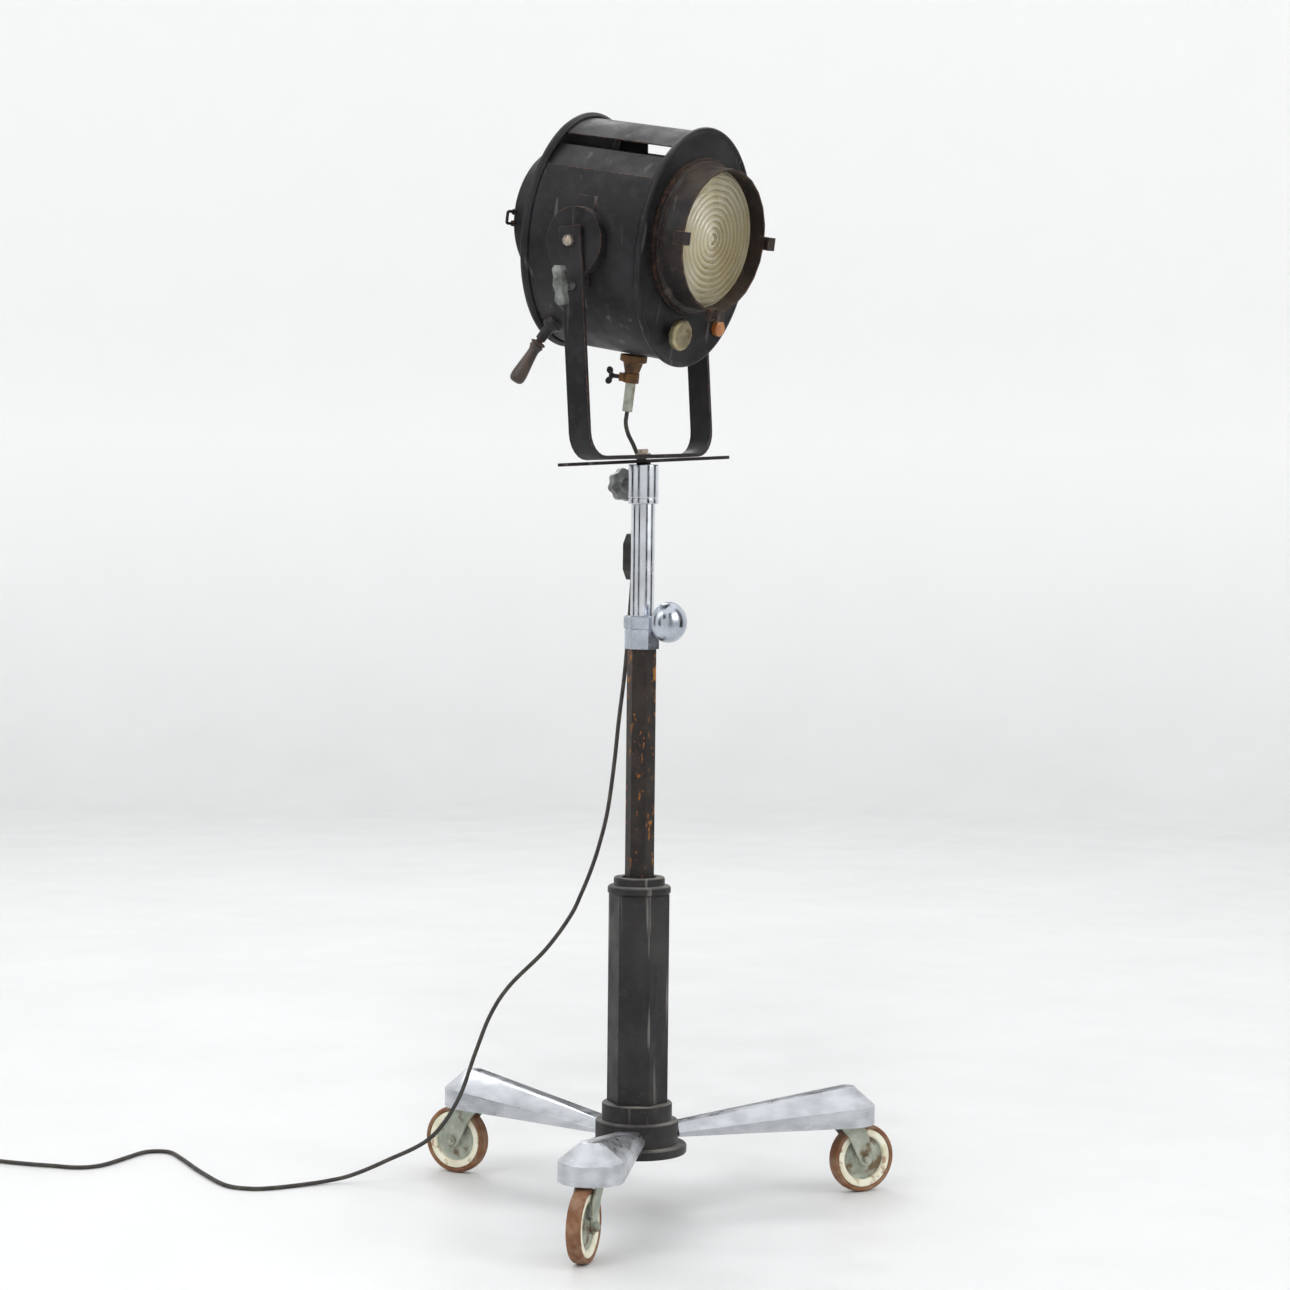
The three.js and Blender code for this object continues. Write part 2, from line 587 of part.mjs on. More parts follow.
// The steering handle: a round foot on the drum, a neck that leans back and a turned wooden grip.
function makeHandle() {
  const { turn, y, neck, length } = HANDLE;
  const neckAxis = new THREE.Vector3(-0.45, 0.3, -0.84).normalize();
  const gripAxis = new THREE.Vector3(-0.36, 0.24, -0.9).normalize();
  const [x, z] = polar(DRUM.radius - 4, turn);
  const root = new THREE.Vector3(x * OVAL, y, z);
  const bend = root.clone().addScaledVector(neckAxis, neck);
  const from = (point, axis, distance) => point.clone().addScaledVector(axis, distance).toArray();
  const foot = [[0, 0], [14, 0], [14, 8], [10, 12], [8, 14], [7, neck + 3], [0, neck + 3]];
  const clear = oval(rod(DRUM.radius + GAP, [0, 20, 0], [0, 100, 0], 72));
  const arm = turned(foot, { sides: 20, at: root.toArray(), axis: neckAxis.toArray() });
  const tip = rod(5, from(bend, gripAxis, -3), from(bend, gripAxis, 5.7), 16);
  part(house, "handle_bracket", "paint", cut(join(arm, tip), clear));
  const grip = [
    [0, 0], [8, 0], [11, 2], [11, 3.5], [8, 5], [10, 8], [7.5, 12], [8, 26], [11, 52], [11, 59],
    [8, 64.5], [0, length],
  ];
  const options = { sides: 12, at: from(bend, gripAxis, 6), axis: gripAxis.toArray() };
  part(house, "handle_grip", "wood", turned(grip, options));
}

// Below the drum: the gland's flange, a tube for the cord and a clamp ring with a wing screw.
function makeGland() {
  const { y, z: top, bore } = GLAND;
  const at = [0, y, top];
  const cone = [[bore, -26], [10, -26], [14, -12], [19, -10], [19, -1], [bore, -1], [bore, -26]];
  part(house, "cord_gland", "brass", turned(cone, { sides: 20, at }));
  const tube = [
    [CORD_TUBE.bore, CORD_TUBE.end - top], [CORD_TUBE.radius, CORD_TUBE.end - top],
    [CORD_TUBE.radius, -1], [CORD_TUBE.bore, -1], [CORD_TUBE.bore, CORD_TUBE.end - top],
  ];
  part(house, "cord_tube", "zinc", turned(tube, { sides: 12, at }));

  const low = top - 40;
  const high = top - 26.5;
  const middle = (low + high) / 2;
  const ring = rod(11, [0, 0, low], [0, 0, high], 20);
  const lug = box([8, -5.5, low + 1], [17, 5.5, high - 1]);
  const hole = rod(bore, [0, 0, top - 60], [0, 0, top], 16);
  const screwHole = rod(3.3, [0, 0, middle], [30, 0, middle], 12);
  const place = (geometry) => geometry.rotateZ(radians(WING_TURN)).translate(0, y, 0);
  part(house, "cord_clamp", "brass", place(cut(join(ring, lug), hole, screwHole)));
  const screw = rod(3, [bore + GAP, 0, middle], [25, 0, middle], 12);
  const wing = box([24, -2, middle - 12], [36, 2, middle + 12]);
  part(house, "wing_screw", "paint", place(join(screw, wing)));
}

function makeGuideCap() {
  const profile = [[0, 0], [10, 0], [11, 1], [11, 8], [9, 9.5], [0, 9.5]];
  const at = [73, -DRUM.front - 2.8, -109];
  part(house, "guide_cap", "amber", turned(profile, { sides: 20, at, axis: [0, -1, 0] }));
}

// A deep domed door on the back plate, hinged on the far side, and its wire latch on the near side.
function makeDoor() {
  const { radius, flange, depth } = DOOR;
  const start = DRUM.rear + 2.8;
  const dome = [
    [0, depth - 2.5], [76, depth - 7], [91, depth - 16], [95, 0], [flange, 0], [flange, 3],
    [radius, 5], [94, depth - 14], [80, depth - 5], [50, depth - 1], [0, depth],
  ].map(([r, h]) => [r, start + h]);
  part(house, "rear_door", "paint", turned(dome, { sides: 24, at: [0, 0, SNOUT.z], axis: [0, 1, 0] }));
  const [from, to] = [start + 34, start + 52];
  const wire = [[-115, from], [-99, from], [-99, to], [-115, to]];
  const inside = [[-112, from + 3], [-102, from + 3], [-102, to - 3], [-112, to - 3]];
  part(house, "door_latch", "paint", extrude(shapeOf(wire, inside), "z", SNOUT.z - 19, SNOUT.z + 3));
}

// ---------------------------------------------------------------- inside the lamp house

// A knob on a rod slides the bulb and the mirror behind it to and fro under the lens.
function makeLampTrain() {
  const knob = [
    [0, -24.7], [ROD.r, -24.7], [ROD.r, 113], [18, 113], [22, 116], [22, 123], [19, 126], [0, 126],
  ];
  const at = [ROD.x, 0, ROD.z];
  part(house, "focus_knob", "nickel", turned(knob, { sides: 12, at, axis: [0, -1, 0] }));

  const plate = box([-44, 0, -106], [44, 50, -101]);
  const post = box([-12, 8, -102], [12, 32, -60]);
  const cup = rod(18, [0, 20, -62], [0, 20, -40], 16);
  const hanger = box([-44, 5, -127], [-18, 25, -101]);
  const rodHole = rod(ROD.r + GAP, [ROD.x, -10, ROD.z], [ROD.x, 70, ROD.z], 12);
  part(house, "lamp_carriage", "cast", cut(join(plate, post, cup, hanger), rodHole));

  const envelope = [
    [0, 0], [13, 0], [13, 12], [16, 20], [30, 40], [33, 55], [30, 70], [18, 85], [0, 90],
  ];
  part(house, "bulb", "bulb", turned(envelope, { sides: 12, at: [0, 20, -39.6] }));

  const bowl = [
    [0, 78], [24, 76], [48, 67.5], [68, 53], [70, 55], [50, 70], [25, 78.5], [0, 80.5],
  ];
  const mirror = turned(bowl, { sides: 16, at: [0, 0, 12], axis: [0, 1, 0] });
  const stem = box([-8, 50.3, -106], [8, 55.5, -52]);
  part(house, "reflector", "mirror", join(mirror, stem));
}

// ---------------------------------------------------------------- cord

// The cord from the lamp house over the back of the yoke to the switch, and on to the coil on the floor.
const HEAD_CORD = [
  [-0.7, 28, 1119.6], [0, 30.4, 1104], [5, 29.5, 1089], [14, 26.5, 1074], [20, 23.2, 1060],
];
const NECK_CORD = [
  [20.4, 23, 1059.2], [24.3, 22.3, 1044], [26, 24, 1020], [25, 28, 985], [22.9, 31.6, 949.3],
];
const MAIN_CORD = [
  [22.9, 31.6, 883.7], [20, 34, 830], [16, 38, 755], [17, 48, 685], [20, 57, 623], [24, 70, 555],
  [25, 84, 506], [25, 98, 468], [23, 113, 433], [20, 130, 399], [9, 165, 349], [-12, 212, 296],
  [-23, 238, 252],
  [-29, 260, 195], [-38, 284, 125], [-53, 322, 68], [-84, 379, 33], [-110, 420, 12], [-134, 444, 5],
  [-166, 461, 3.3], [-212, 484, 3.2], [-235, 509, 3.2], [-236, 553, 3.2], [-188, 639, 3.2],
  [-123, 740, 3.2], [-105, 780, 3.2], [-118, 800, 3.2], [-162, 802, 3.2], [-239, 790, 3.2],
  [-268, 803, 3.2], [-278, 842, 3.2], [-293, 880, 3.2], [-300, 925, 3.2], [-297, 950, 3.2],
  [-308, 965.7, 3.2],
];

function makeCord() {
  part(stand, "cord_head", "cord", cordTube(HEAD_CORD, 6));
  part(stand, "cord_neck", "cord", cordTube(NECK_CORD, 7));
  part(stand, "cord_main", "cord", cordTube(MAIN_CORD, 54));
  const { centre, radius, thick } = COIL;
  const inner = radius - thick / 2;
  const outer = radius + thick / 2;
  const section = [
    [inner, 0.2], [outer, 0.2], [outer, thick + 0.2], [inner, thick + 0.2], [inner, 0.2],
  ];
  part(stand, "cord_coil", "cord", turned(section, { sides: 24, at: [...centre, 0] }));
}

// A slim in-line switch on the cord, behind the mast, with a rocker on its outer side.
function makeSwitch() {
  const { centre, turn, low, high, half, thick } = SWITCH;
  const middle = (low + high) / 2;
  const outline = [
    [-5, low], [5, low], [half, low + 14], [half, high - 14], [5, high], [-5, high],
    [-half, high - 14], [-half, low + 14],
  ];
  const place = (geometry) => geometry.rotateZ(radians(turn - 90)).translate(...centre, 0);
  const body = extrude(shapeOf(outline), "y", -thick / 2, thick / 2);
  const slot = box([-5, thick / 2 - 4, middle - 9], [5, thick, middle + 9]);
  part(stand, "switch_body", "plastic", place(cut(body, slot)));
  const side = [
    [5.6, middle - 8.2], [10.5, middle - 8.4], [8.6, middle], [9.4, middle + 8.4],
    [5.6, middle + 8.2], [4.4, middle],
  ];
  part(stand, "switch_rocker", "red", place(extrude(shapeOf(side), "x", -4.7, 4.7)));
}

// The plug lies beside the coil, in line with the cord's last tangent, with its two pins away from it.
function makePlug() {
  const outline = [[-8, 0], [8, 0], [17, 12], [17, 40], [-17, 40], [-17, 12]];
  const body = extrude(shapeOf(outline), "z", 0.2, 22);
  const pins = [-9.5, 9.5].map((side) => rod(2.4, [side, 39, 11], [side, 59, 11], 12));
  const plug = join(body, ...pins).rotateZ(radians(PLUG.turn - 90));
  const [x, y] = polar(COIL.radius + CORD / 2, PLUG.turn - 90);
  const [dx, dy] = polar(PLUG.tail, PLUG.turn);
  plug.translate(COIL.centre[0] + x + dx, COIL.centre[1] + y + dy, 0);
  part(stand, "plug", "plastic", plug);
}

makeHub();
makeLegs();
makeCastors();
makeColumn();
makeClamp();
makeMast();
makeStarKnob();
makeYoke();
makeTiltClamp();
makeDrum();
makePlates();
makeSnout();
makeLens();
makePivots();
makeHandle();
makeGland();
makeGuideCap();
makeDoor();
makeLampTrain();
makeCord();
makeSwitch();
makePlug();

export default stand;
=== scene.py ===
"""Looks of the wheeled lighting stand: its studio, camera, materials and finished pieces."""

import json
import math

import bmesh
import bpy
from mathutils import Matrix, Vector


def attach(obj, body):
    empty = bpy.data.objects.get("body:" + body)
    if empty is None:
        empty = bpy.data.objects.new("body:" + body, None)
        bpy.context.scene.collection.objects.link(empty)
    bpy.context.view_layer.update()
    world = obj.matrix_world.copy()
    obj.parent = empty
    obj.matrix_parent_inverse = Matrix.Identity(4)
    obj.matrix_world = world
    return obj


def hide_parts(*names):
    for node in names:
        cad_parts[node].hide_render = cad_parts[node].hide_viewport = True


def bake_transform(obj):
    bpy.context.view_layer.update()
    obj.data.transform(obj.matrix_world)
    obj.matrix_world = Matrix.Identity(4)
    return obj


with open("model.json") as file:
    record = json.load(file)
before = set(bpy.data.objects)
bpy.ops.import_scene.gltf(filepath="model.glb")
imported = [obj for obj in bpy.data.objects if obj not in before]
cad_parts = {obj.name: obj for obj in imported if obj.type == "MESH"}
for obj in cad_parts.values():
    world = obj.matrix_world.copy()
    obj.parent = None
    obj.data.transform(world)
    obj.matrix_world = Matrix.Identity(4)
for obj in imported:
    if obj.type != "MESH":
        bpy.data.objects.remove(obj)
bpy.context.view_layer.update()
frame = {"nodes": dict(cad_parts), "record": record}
NODES = frame["nodes"]
BODY_OF = {n: body for body, names in frame["record"]["behaviour"]["bodies"].items() for n in names}

# ---------------------------------------------------------------- places, in the CAD's millimetres

MM = Matrix.Scale(0.001, 4)


def move(x, y, z):
    return Matrix.Translation((x, y, z))


def turn(degrees, axis):
    return Matrix.Rotation(math.radians(degrees), 4, axis)


def polar(distance, degrees, z=0.0):
    a = math.radians(degrees)
    return Vector((distance * math.cos(a), distance * math.sin(a), z))


STAND = MM @ move(25.98, -75.04, 0)  # the column's axis
YOKE_Z, YOKE_TURN = 1048.5, -3.5
LEAN, LEAN_AXIS_TURN = 3.2, 212.5
TILT_Z, TILT_REST = 304, 12
DRUM_RISE = 8  # the drum's axis above the tilt axis
LEANING = turn(LEAN, polar(1, LEAN_AXIS_TURN))
YOKE_PLACE = STAND @ move(0, 0, YOKE_Z) @ LEANING @ turn(YOKE_TURN, "Z")
HOUSE = YOKE_PLACE @ move(0, 0, TILT_Z) @ turn(TILT_REST, "X") @ move(0, 0, DRUM_RISE)
SQUASH = 0.8  # the drum is this much narrower than it is tall
OVAL = Matrix.Scale(SQUASH, 4, (1, 0, 0))
SNOUT_Z = 16
DRUM_RADIUS, DRUM_WALL, DRUM_FRONT, DRUM_REAR = 158, 2, 102, 93
DRUM_EDGES = (34.5, -214.5)  # directions of the sheet's two edges, under the vent roof
GLAND_Y, GLAND_Z = -24, -158.6
LEGS = [("front", 201.7, 196.2), ("right", -38.3, -30.1), ("left", 81.7, 93.8)]  # turn, trail
KINGPIN_REACH, CASTOR_TRAIL, WHEEL_RADIUS = 316, 30, 49.5
KNOB_TURN, KNOB_Z, KNOB_SEAT = -101.5, 827, 17.2

# ---------------------------------------------------------------- camera, floor and light


CAMERA_PLACE, CAMERA_AHEAD = (-3.7469, -2.4840, 0.999), (0.8434, 0.5373, 0)
CAMERA_PITCH, CAMERA_ROLL, CAMERA_LENS = 2.626, 0.597, 89.27


def make_camera():
    """The photo's camera, found by laying the CAD's outlines over the photo."""
    ahead = Vector(CAMERA_AHEAD).normalized()
    right = Vector((ahead.y, -ahead.x, 0))
    pitch, roll = math.radians(CAMERA_PITCH), math.radians(CAMERA_ROLL)
    look = ahead * math.cos(pitch) - Vector((0, 0, math.sin(pitch)))
    up = right.cross(look)
    across = right * math.cos(roll) + up * math.sin(roll)
    upward = across.cross(look)
    camera = bpy.data.objects.new("camera", bpy.data.cameras.new("camera"))
    bpy.context.scene.collection.objects.link(camera)
    camera.matrix_world = Matrix.Translation(CAMERA_PLACE) @ Matrix(
        (across, upward, -look)
    ).transposed().to_4x4()
    camera.data.lens = CAMERA_LENS
    camera.data.sensor_width = 36
    camera.data.clip_end = 100
    bpy.context.scene.camera = camera


def make_light(name, place, target, size, power):
    light = bpy.data.lights.new(name, "AREA")
    light.shape = "RECTANGLE"
    light.size, light.size_y = size
    light.energy = power
    lamp = bpy.data.objects.new(name, light)
    bpy.context.scene.collection.objects.link(lamp)
    lamp.location = place
    lamp.rotation_euler = (Vector(target) - Vector(place)).to_track_quat("-Z", "Y").to_euler()


# ---------------------------------------------------------------- material building


class Look:
    """A material's node tree, with short calls for what the finishes share."""

    def __init__(self, name, base, rough=0.5, metal=0.0, **sockets):
        self.material = bpy.data.materials.new(name)
        self.material.use_nodes = True
        self.tree = self.material.node_tree
        self.shader = next(n for n in self.tree.nodes if n.type == "BSDF_PRINCIPLED")
        self.shader.inputs["Base Color"].default_value = (*base, 1)
        self.shader.inputs["Roughness"].default_value = rough
        self.shader.inputs["Metallic"].default_value = metal
        for socket, value in sockets.items():
            self.shader.inputs[socket.replace("_", " ")].default_value = value
        self.places = self.tree.nodes.new("ShaderNodeTexCoord").outputs["Object"]
        self.geometry = None

    def node(self, kind, links=(), **settings):
        made = self.tree.nodes.new("ShaderNode" + kind)
        for key, value in settings.items():
            setattr(made, key, value)
        for socket, value in links:
            if isinstance(value, bpy.types.NodeSocket):
                self.tree.links.new(value, made.inputs[socket])
            else:
                made.inputs[socket].default_value = value
        return made

    def noise(self, scale, detail=4, stretch=None, offset=0.0):
        source = self.places
        if stretch or offset:
            mapped = self.node(
                "Mapping",
                [("Vector", source), ("Scale", stretch or (1, 1, 1)), ("Location", (offset,) * 3)],
            )
            source = mapped.outputs["Vector"]
        made = self.node("TexNoise", [("Vector", source), ("Scale", scale), ("Detail", detail)])
        return made.outputs["Fac"]

    def cells(self, scale):
        made = self.node("TexVoronoi", [("Vector", self.places), ("Scale", scale)])
        return made.outputs["Distance"]

    def step(self, value, low, high, to_low=0.0, to_high=1.0):
        made = self.node(
            "MapRange",
            [("Value", value), ("From Min", low), ("From Max", high), ("To Min", to_low),
             ("To Max", to_high)],
        )
        return made.outputs["Result"]

    def math(self, operation, a, b):
        return self.node("Math", [(0, a), (1, b)], operation=operation).outputs["Value"]

    def mix(self, fac, a, b):
        made = self.node("Mix", data_type="RGBA")
        for socket, value in ((0, fac), (6, a), (7, b)):
            if isinstance(value, bpy.types.NodeSocket):
                self.tree.links.new(value, made.inputs[socket])
            elif socket == 0:
                made.inputs[socket].default_value = value
            else:
                made.inputs[socket].default_value = (*value, 1)
        return made.outputs[2]

    def geometry_output(self, name):
        if self.geometry is None:
            self.geometry = self.node("NewGeometry")
        return self.geometry.outputs[name]

    def edges(self, radius=0.0012):
        """How near the surface is to one of its edges."""
        soft = self.node("Bevel", [("Radius", radius)], samples=6).outputs["Normal"]
        made = self.node(
            "VectorMath", [(0, soft), (1, self.geometry_output("Normal"))], operation="DOT_PRODUCT"
        )
        return self.step(made.outputs["Value"], 0.995, 0.86)

    def tops(self, low=0.4, high=1.0):
        """How far the surface looks up, by its own normal."""
        parts = self.node("SeparateXYZ", [(0, self.geometry_output("Normal"))])
        return self.step(parts.outputs["Z"], low, high)

    def colour(self, value):
        self.tree.links.new(value, self.shader.inputs["Base Color"])

    def set(self, socket, value):
        self.tree.links.new(value, self.shader.inputs[socket])

    def bump(self, height, strength=0.3, distance=0.001):
        before = self.shader.inputs["Normal"].links
        made = self.node(
            "Bump", [("Height", height), ("Strength", strength), ("Distance", distance)]
        )
        if before:
            self.tree.links.new(before[0].from_socket, made.inputs["Normal"])
        self.set("Normal", made.outputs["Normal"])


def srgb(r, g, b):
    """A linear colour from the usual 0 to 255 values."""
    return tuple(
        (c / 255 / 12.92) if c <= 10 else ((c / 255 + 0.055) / 1.055) ** 2.4 for c in (r, g, b)
    )


def painted(name, base, scuff, dust, wear, grain=900, grain_strength=0.15):
    """Old black paint: cloudy scuffs, thin scratches, bare edges and dust on what faces up."""
    look = Look(name, base, 0.5, 0.0, Specular_IOR_Level=0.22)
    clouds = look.step(look.noise(9, 6), 0.42, 0.72)
    fine = look.step(look.noise(70, 5), 0.52, 0.75)
    tint = look.mix(clouds, base, scuff)
    tint = look.mix(look.math("MULTIPLY", fine, 0.5), tint, scuff)
    scratches = look.step(look.noise(60, 3, stretch=(1, 1, 0.06)), 0.64, 0.69)
    tint = look.mix(look.math("MULTIPLY", scratches, 0.4), tint, dust)
    specks = look.step(look.cells(260), 0.07, 0.1, 1.0, 0.0)
    specks = look.math("MULTIPLY", specks, look.step(look.noise(12, 4), 0.5, 0.6))
    tint = look.mix(look.math("MULTIPLY", specks, 0.6), tint, dust)
    chips = look.math("MULTIPLY", look.edges(), look.step(look.noise(160, 4), 0.42, 0.6))
    tint = look.mix(chips, tint, wear)
    settled = look.math("MULTIPLY", look.tops(), look.step(look.noise(25, 5), 0.25, 0.7))
    tint = look.mix(look.math("MULTIPLY", settled, 0.7), tint, dust)
    look.colour(tint)
    look.set("Roughness", look.step(look.noise(30, 5), 0.3, 0.7, 0.34, 0.62))
    look.bump(look.noise(grain, 2), grain_strength, 0.0004)
    look.bump(chips, 0.3, 0.0003)
    return look.material


def flaked():
    """Black paint that has flaked off in upright strips, down to ochre primer and brown rust."""
    dark, ochre, rust = srgb(34, 30, 28), srgb(164, 106, 44), srgb(84, 52, 32)
    look = Look("flaked_paint", dark, 0.6, Specular_IOR_Level=0.25)
    patches = look.noise(230, 7, stretch=(1, 1, 0.4))
    wide = look.noise(34, 5, stretch=(1, 1, 0.25), offset=3.0)
    flakes = look.math("ADD", patches, look.math("MULTIPLY", wide, 0.8))
    mask = look.step(flakes, 1.02, 1.04)
    ring = look.step(flakes, 0.98, 1.02)
    edge = look.math("MULTIPLY", look.edges(), look.step(look.noise(90, 5), 0.42, 0.58))
    tint = look.mix(look.step(look.noise(40, 5), 0.4, 0.7), dark, srgb(50, 43, 38))
    tint = look.mix(ring, tint, rust)
    tint = look.mix(edge, tint, srgb(120, 74, 36))
    shade = look.mix(look.noise(220, 3), srgb(138, 84, 36), ochre)
    tint = look.mix(mask, tint, shade)
    look.colour(tint)
    look.set("Roughness", look.step(mask, 0, 1, 0.5, 0.8))
    look.bump(look.math("SUBTRACT", 1.0, mask), 0.6, 0.0006)
    look.bump(look.noise(500, 3), 0.2, 0.0004)
    return look.material


def plated(name, base, stain, rough, metal=1.0, pits=True, streak=None, waves=0.08):
    """Bright metal with a haze, dark pits and stains that gather in patches."""
    look = Look(name, base, rough, metal)
    haze = look.step(look.noise(22, 6, stretch=streak), 0.4, 0.75)
    tint = look.mix(look.math("MULTIPLY", haze, 0.5), base, stain)
    dullness = look.noise(55, 5, stretch=streak)
    look.set("Roughness", look.step(dullness, 0.3, 0.75, rough, rough + 0.22))
    if pits:
        spots = look.step(look.cells(420), 0.10, 0.16, 1.0, 0.0)
        spots = look.math("MULTIPLY", spots, look.step(look.noise(24, 5), 0.5, 0.62))
        tint = look.mix(spots, tint, srgb(70, 62, 54))
        look.bump(look.math("SUBTRACT", 1.0, spots), 0.4, 0.0003)
    look.colour(tint)
    look.bump(look.noise(160, 4, stretch=streak), waves, 0.0004)
    return look.material


def stained(name, base, light, stain, rough=0.5, metal=0.6):
    """Worn metal with blotches, and stains along its edges."""
    look = Look(name, base, rough, metal)
    tint = look.mix(look.step(look.noise(60, 5), 0.35, 0.7), base, light)
    blotch = look.math("MULTIPLY", look.step(look.noise(45, 7, offset=5.0), 0.52, 0.66), 0.85)
    tint = look.mix(blotch, tint, stain)
    worn = look.math("MULTIPLY", look.edges(0.002), look.step(look.noise(120, 4), 0.4, 0.6))
    tint = look.mix(look.math("MULTIPLY", worn, 0.6), tint, stain)
    look.colour(tint)
    look.set("Roughness", look.step(look.noise(90, 5), 0.3, 0.7, rough - 0.12, rough + 0.2))
    look.bump(look.noise(300, 4), 0.2, 0.0004)
    return look.material


def moulded(name, base, light, rough=0.4, grain=1400, **sockets):
    """Plastic or rubber with a fine grain, faded in patches and along its edges."""
    look = Look(name, base, rough, 0.0, **sockets)
    tint = look.mix(look.step(look.noise(50, 6), 0.45, 0.75), base, light)
    tint = look.mix(look.math("MULTIPLY", look.edges(), 0.5), tint, light)
    look.colour(tint)
    look.set("Roughness", look.step(look.noise(80, 5), 0.3, 0.7, rough - 0.08, rough + 0.15))
    look.bump(look.noise(grain, 2), 0.12, 0.0003)
    return look.material


def turned_wood():
    """Dark stained wood with its grain along the handle, rubbed pale on its edges."""
    dark, light = srgb(48, 42, 40), srgb(92, 74, 62)
    look = Look("turned_wood", dark, 0.45)
    grain = look.noise(40, 6, stretch=(1, 1, 0.12))
    tint = look.mix(look.step(grain, 0.4, 0.75), dark, light)
    tint = look.mix(look.math("MULTIPLY", look.edges(), 0.8), tint, srgb(120, 96, 74))
    look.colour(tint)
    look.set("Roughness", look.step(grain, 0.3, 0.8, 0.35, 0.6))
    look.bump(grain, 0.3, 0.0005)
    return look.material


def rubber_tyre():
    """Perished brown rubber with dust and dark spots."""
    brown, dusty = srgb(112, 72, 46), srgb(160, 138, 114)
    look = Look("tyre_rubber", brown, 0.75)
    tint = look.mix(look.step(look.noise(30, 6), 0.35, 0.7), brown, srgb(134, 90, 58))
    tread = look.step(look.noise(60, 7), 0.4, 0.75)
    tint = look.mix(look.math("MULTIPLY", tread, 0.6), tint, dusty)
    dark = look.step(look.noise(140, 4), 0.6, 0.8)
    tint = look.mix(look.math("MULTIPLY", dark, 0.5), tint, srgb(98, 62, 40))
    look.colour(tint)
    look.set("Roughness", look.step(look.noise(90, 4), 0.3, 0.7, 0.65, 0.9))
    look.bump(look.noise(350, 4), 0.5, 0.0006)
    look.bump(look.noise(50, 5), 0.3, 0.0008)
    return look.material


def cream_wheel():
    """Cream enamel that has yellowed, with blotches of rust."""
    cream, rust = srgb(238, 235, 214), srgb(150, 108, 66)
    look = Look("cream_wheel", cream, 0.5)
    tint = look.mix(look.step(look.noise(50, 6), 0.4, 0.7), cream, srgb(216, 208, 178))
    blotch = look.step(look.noise(70, 7, offset=2.0), 0.58, 0.68)
    tint = look.mix(look.math("MULTIPLY", blotch, 0.8), tint, rust)
    look.colour(tint)
    look.set("Roughness", look.step(look.noise(90, 5), 0.3, 0.7, 0.4, 0.65))
    look.bump(look.noise(240, 4), 0.2, 0.0004)
    return look.material


def lens_glass():
    """Yellowish glass under a film of dust."""
    look = Look("lens_glass", srgb(244, 236, 206), 0.08, 0.0, Transmission_Weight=0.62, IOR=1.5)
    film = look.step(look.noise(18, 6), 0.4, 0.7)
    look.colour(look.mix(film, srgb(250, 244, 220), srgb(228, 214, 172)))
    look.set("Roughness", look.step(look.noise(40, 5), 0.3, 0.7, 0.03, 0.14))
    look.bump(look.noise(120, 3), 0.05, 0.0005)
    return look.material


def bulb_glass():
    """Frosted glass that has gone a little yellow."""
    look = Look("bulb_glass", srgb(240, 238, 228), 0.35, 0.0, Transmission_Weight=0.35, IOR=1.45)
    look.colour(look.mix(look.noise(30, 4), srgb(244, 242, 234), srgb(222, 216, 200)))
    look.set("Roughness", look.step(look.noise(60, 4), 0.3, 0.7, 0.3, 0.5))
    look.bump(look.noise(300, 3), 0.05, 0.0003)
    return look.material


def studio_floor():
    """Pale grey floor that turns into a nearly white wall with height: painted shade, as the floor is
    painted darker than the wall to offset the extra lamp light it gets.
    """
    look = Look("studio_floor", (0.86, 0.862, 0.868), 0.55)
    height = look.node("SeparateXYZ", [(0, look.places)]).outputs["Z"]
    scuffs = look.step(look.noise(2.5, 5), 0.35, 0.7)
    floor = look.mix(scuffs, (0.73, 0.73, 0.728), (0.7, 0.7, 0.698))
    # painted shade: up to 1.2 m of height the floor is painted a darker grey than the wall
    look.colour(look.mix(look.step(height, 0.0, 1.2), floor, (0.93, 0.93, 0.925)))
    look.set("Roughness", look.step(look.noise(6, 5), 0.3, 0.7, 0.3, 0.5))
    return look.material


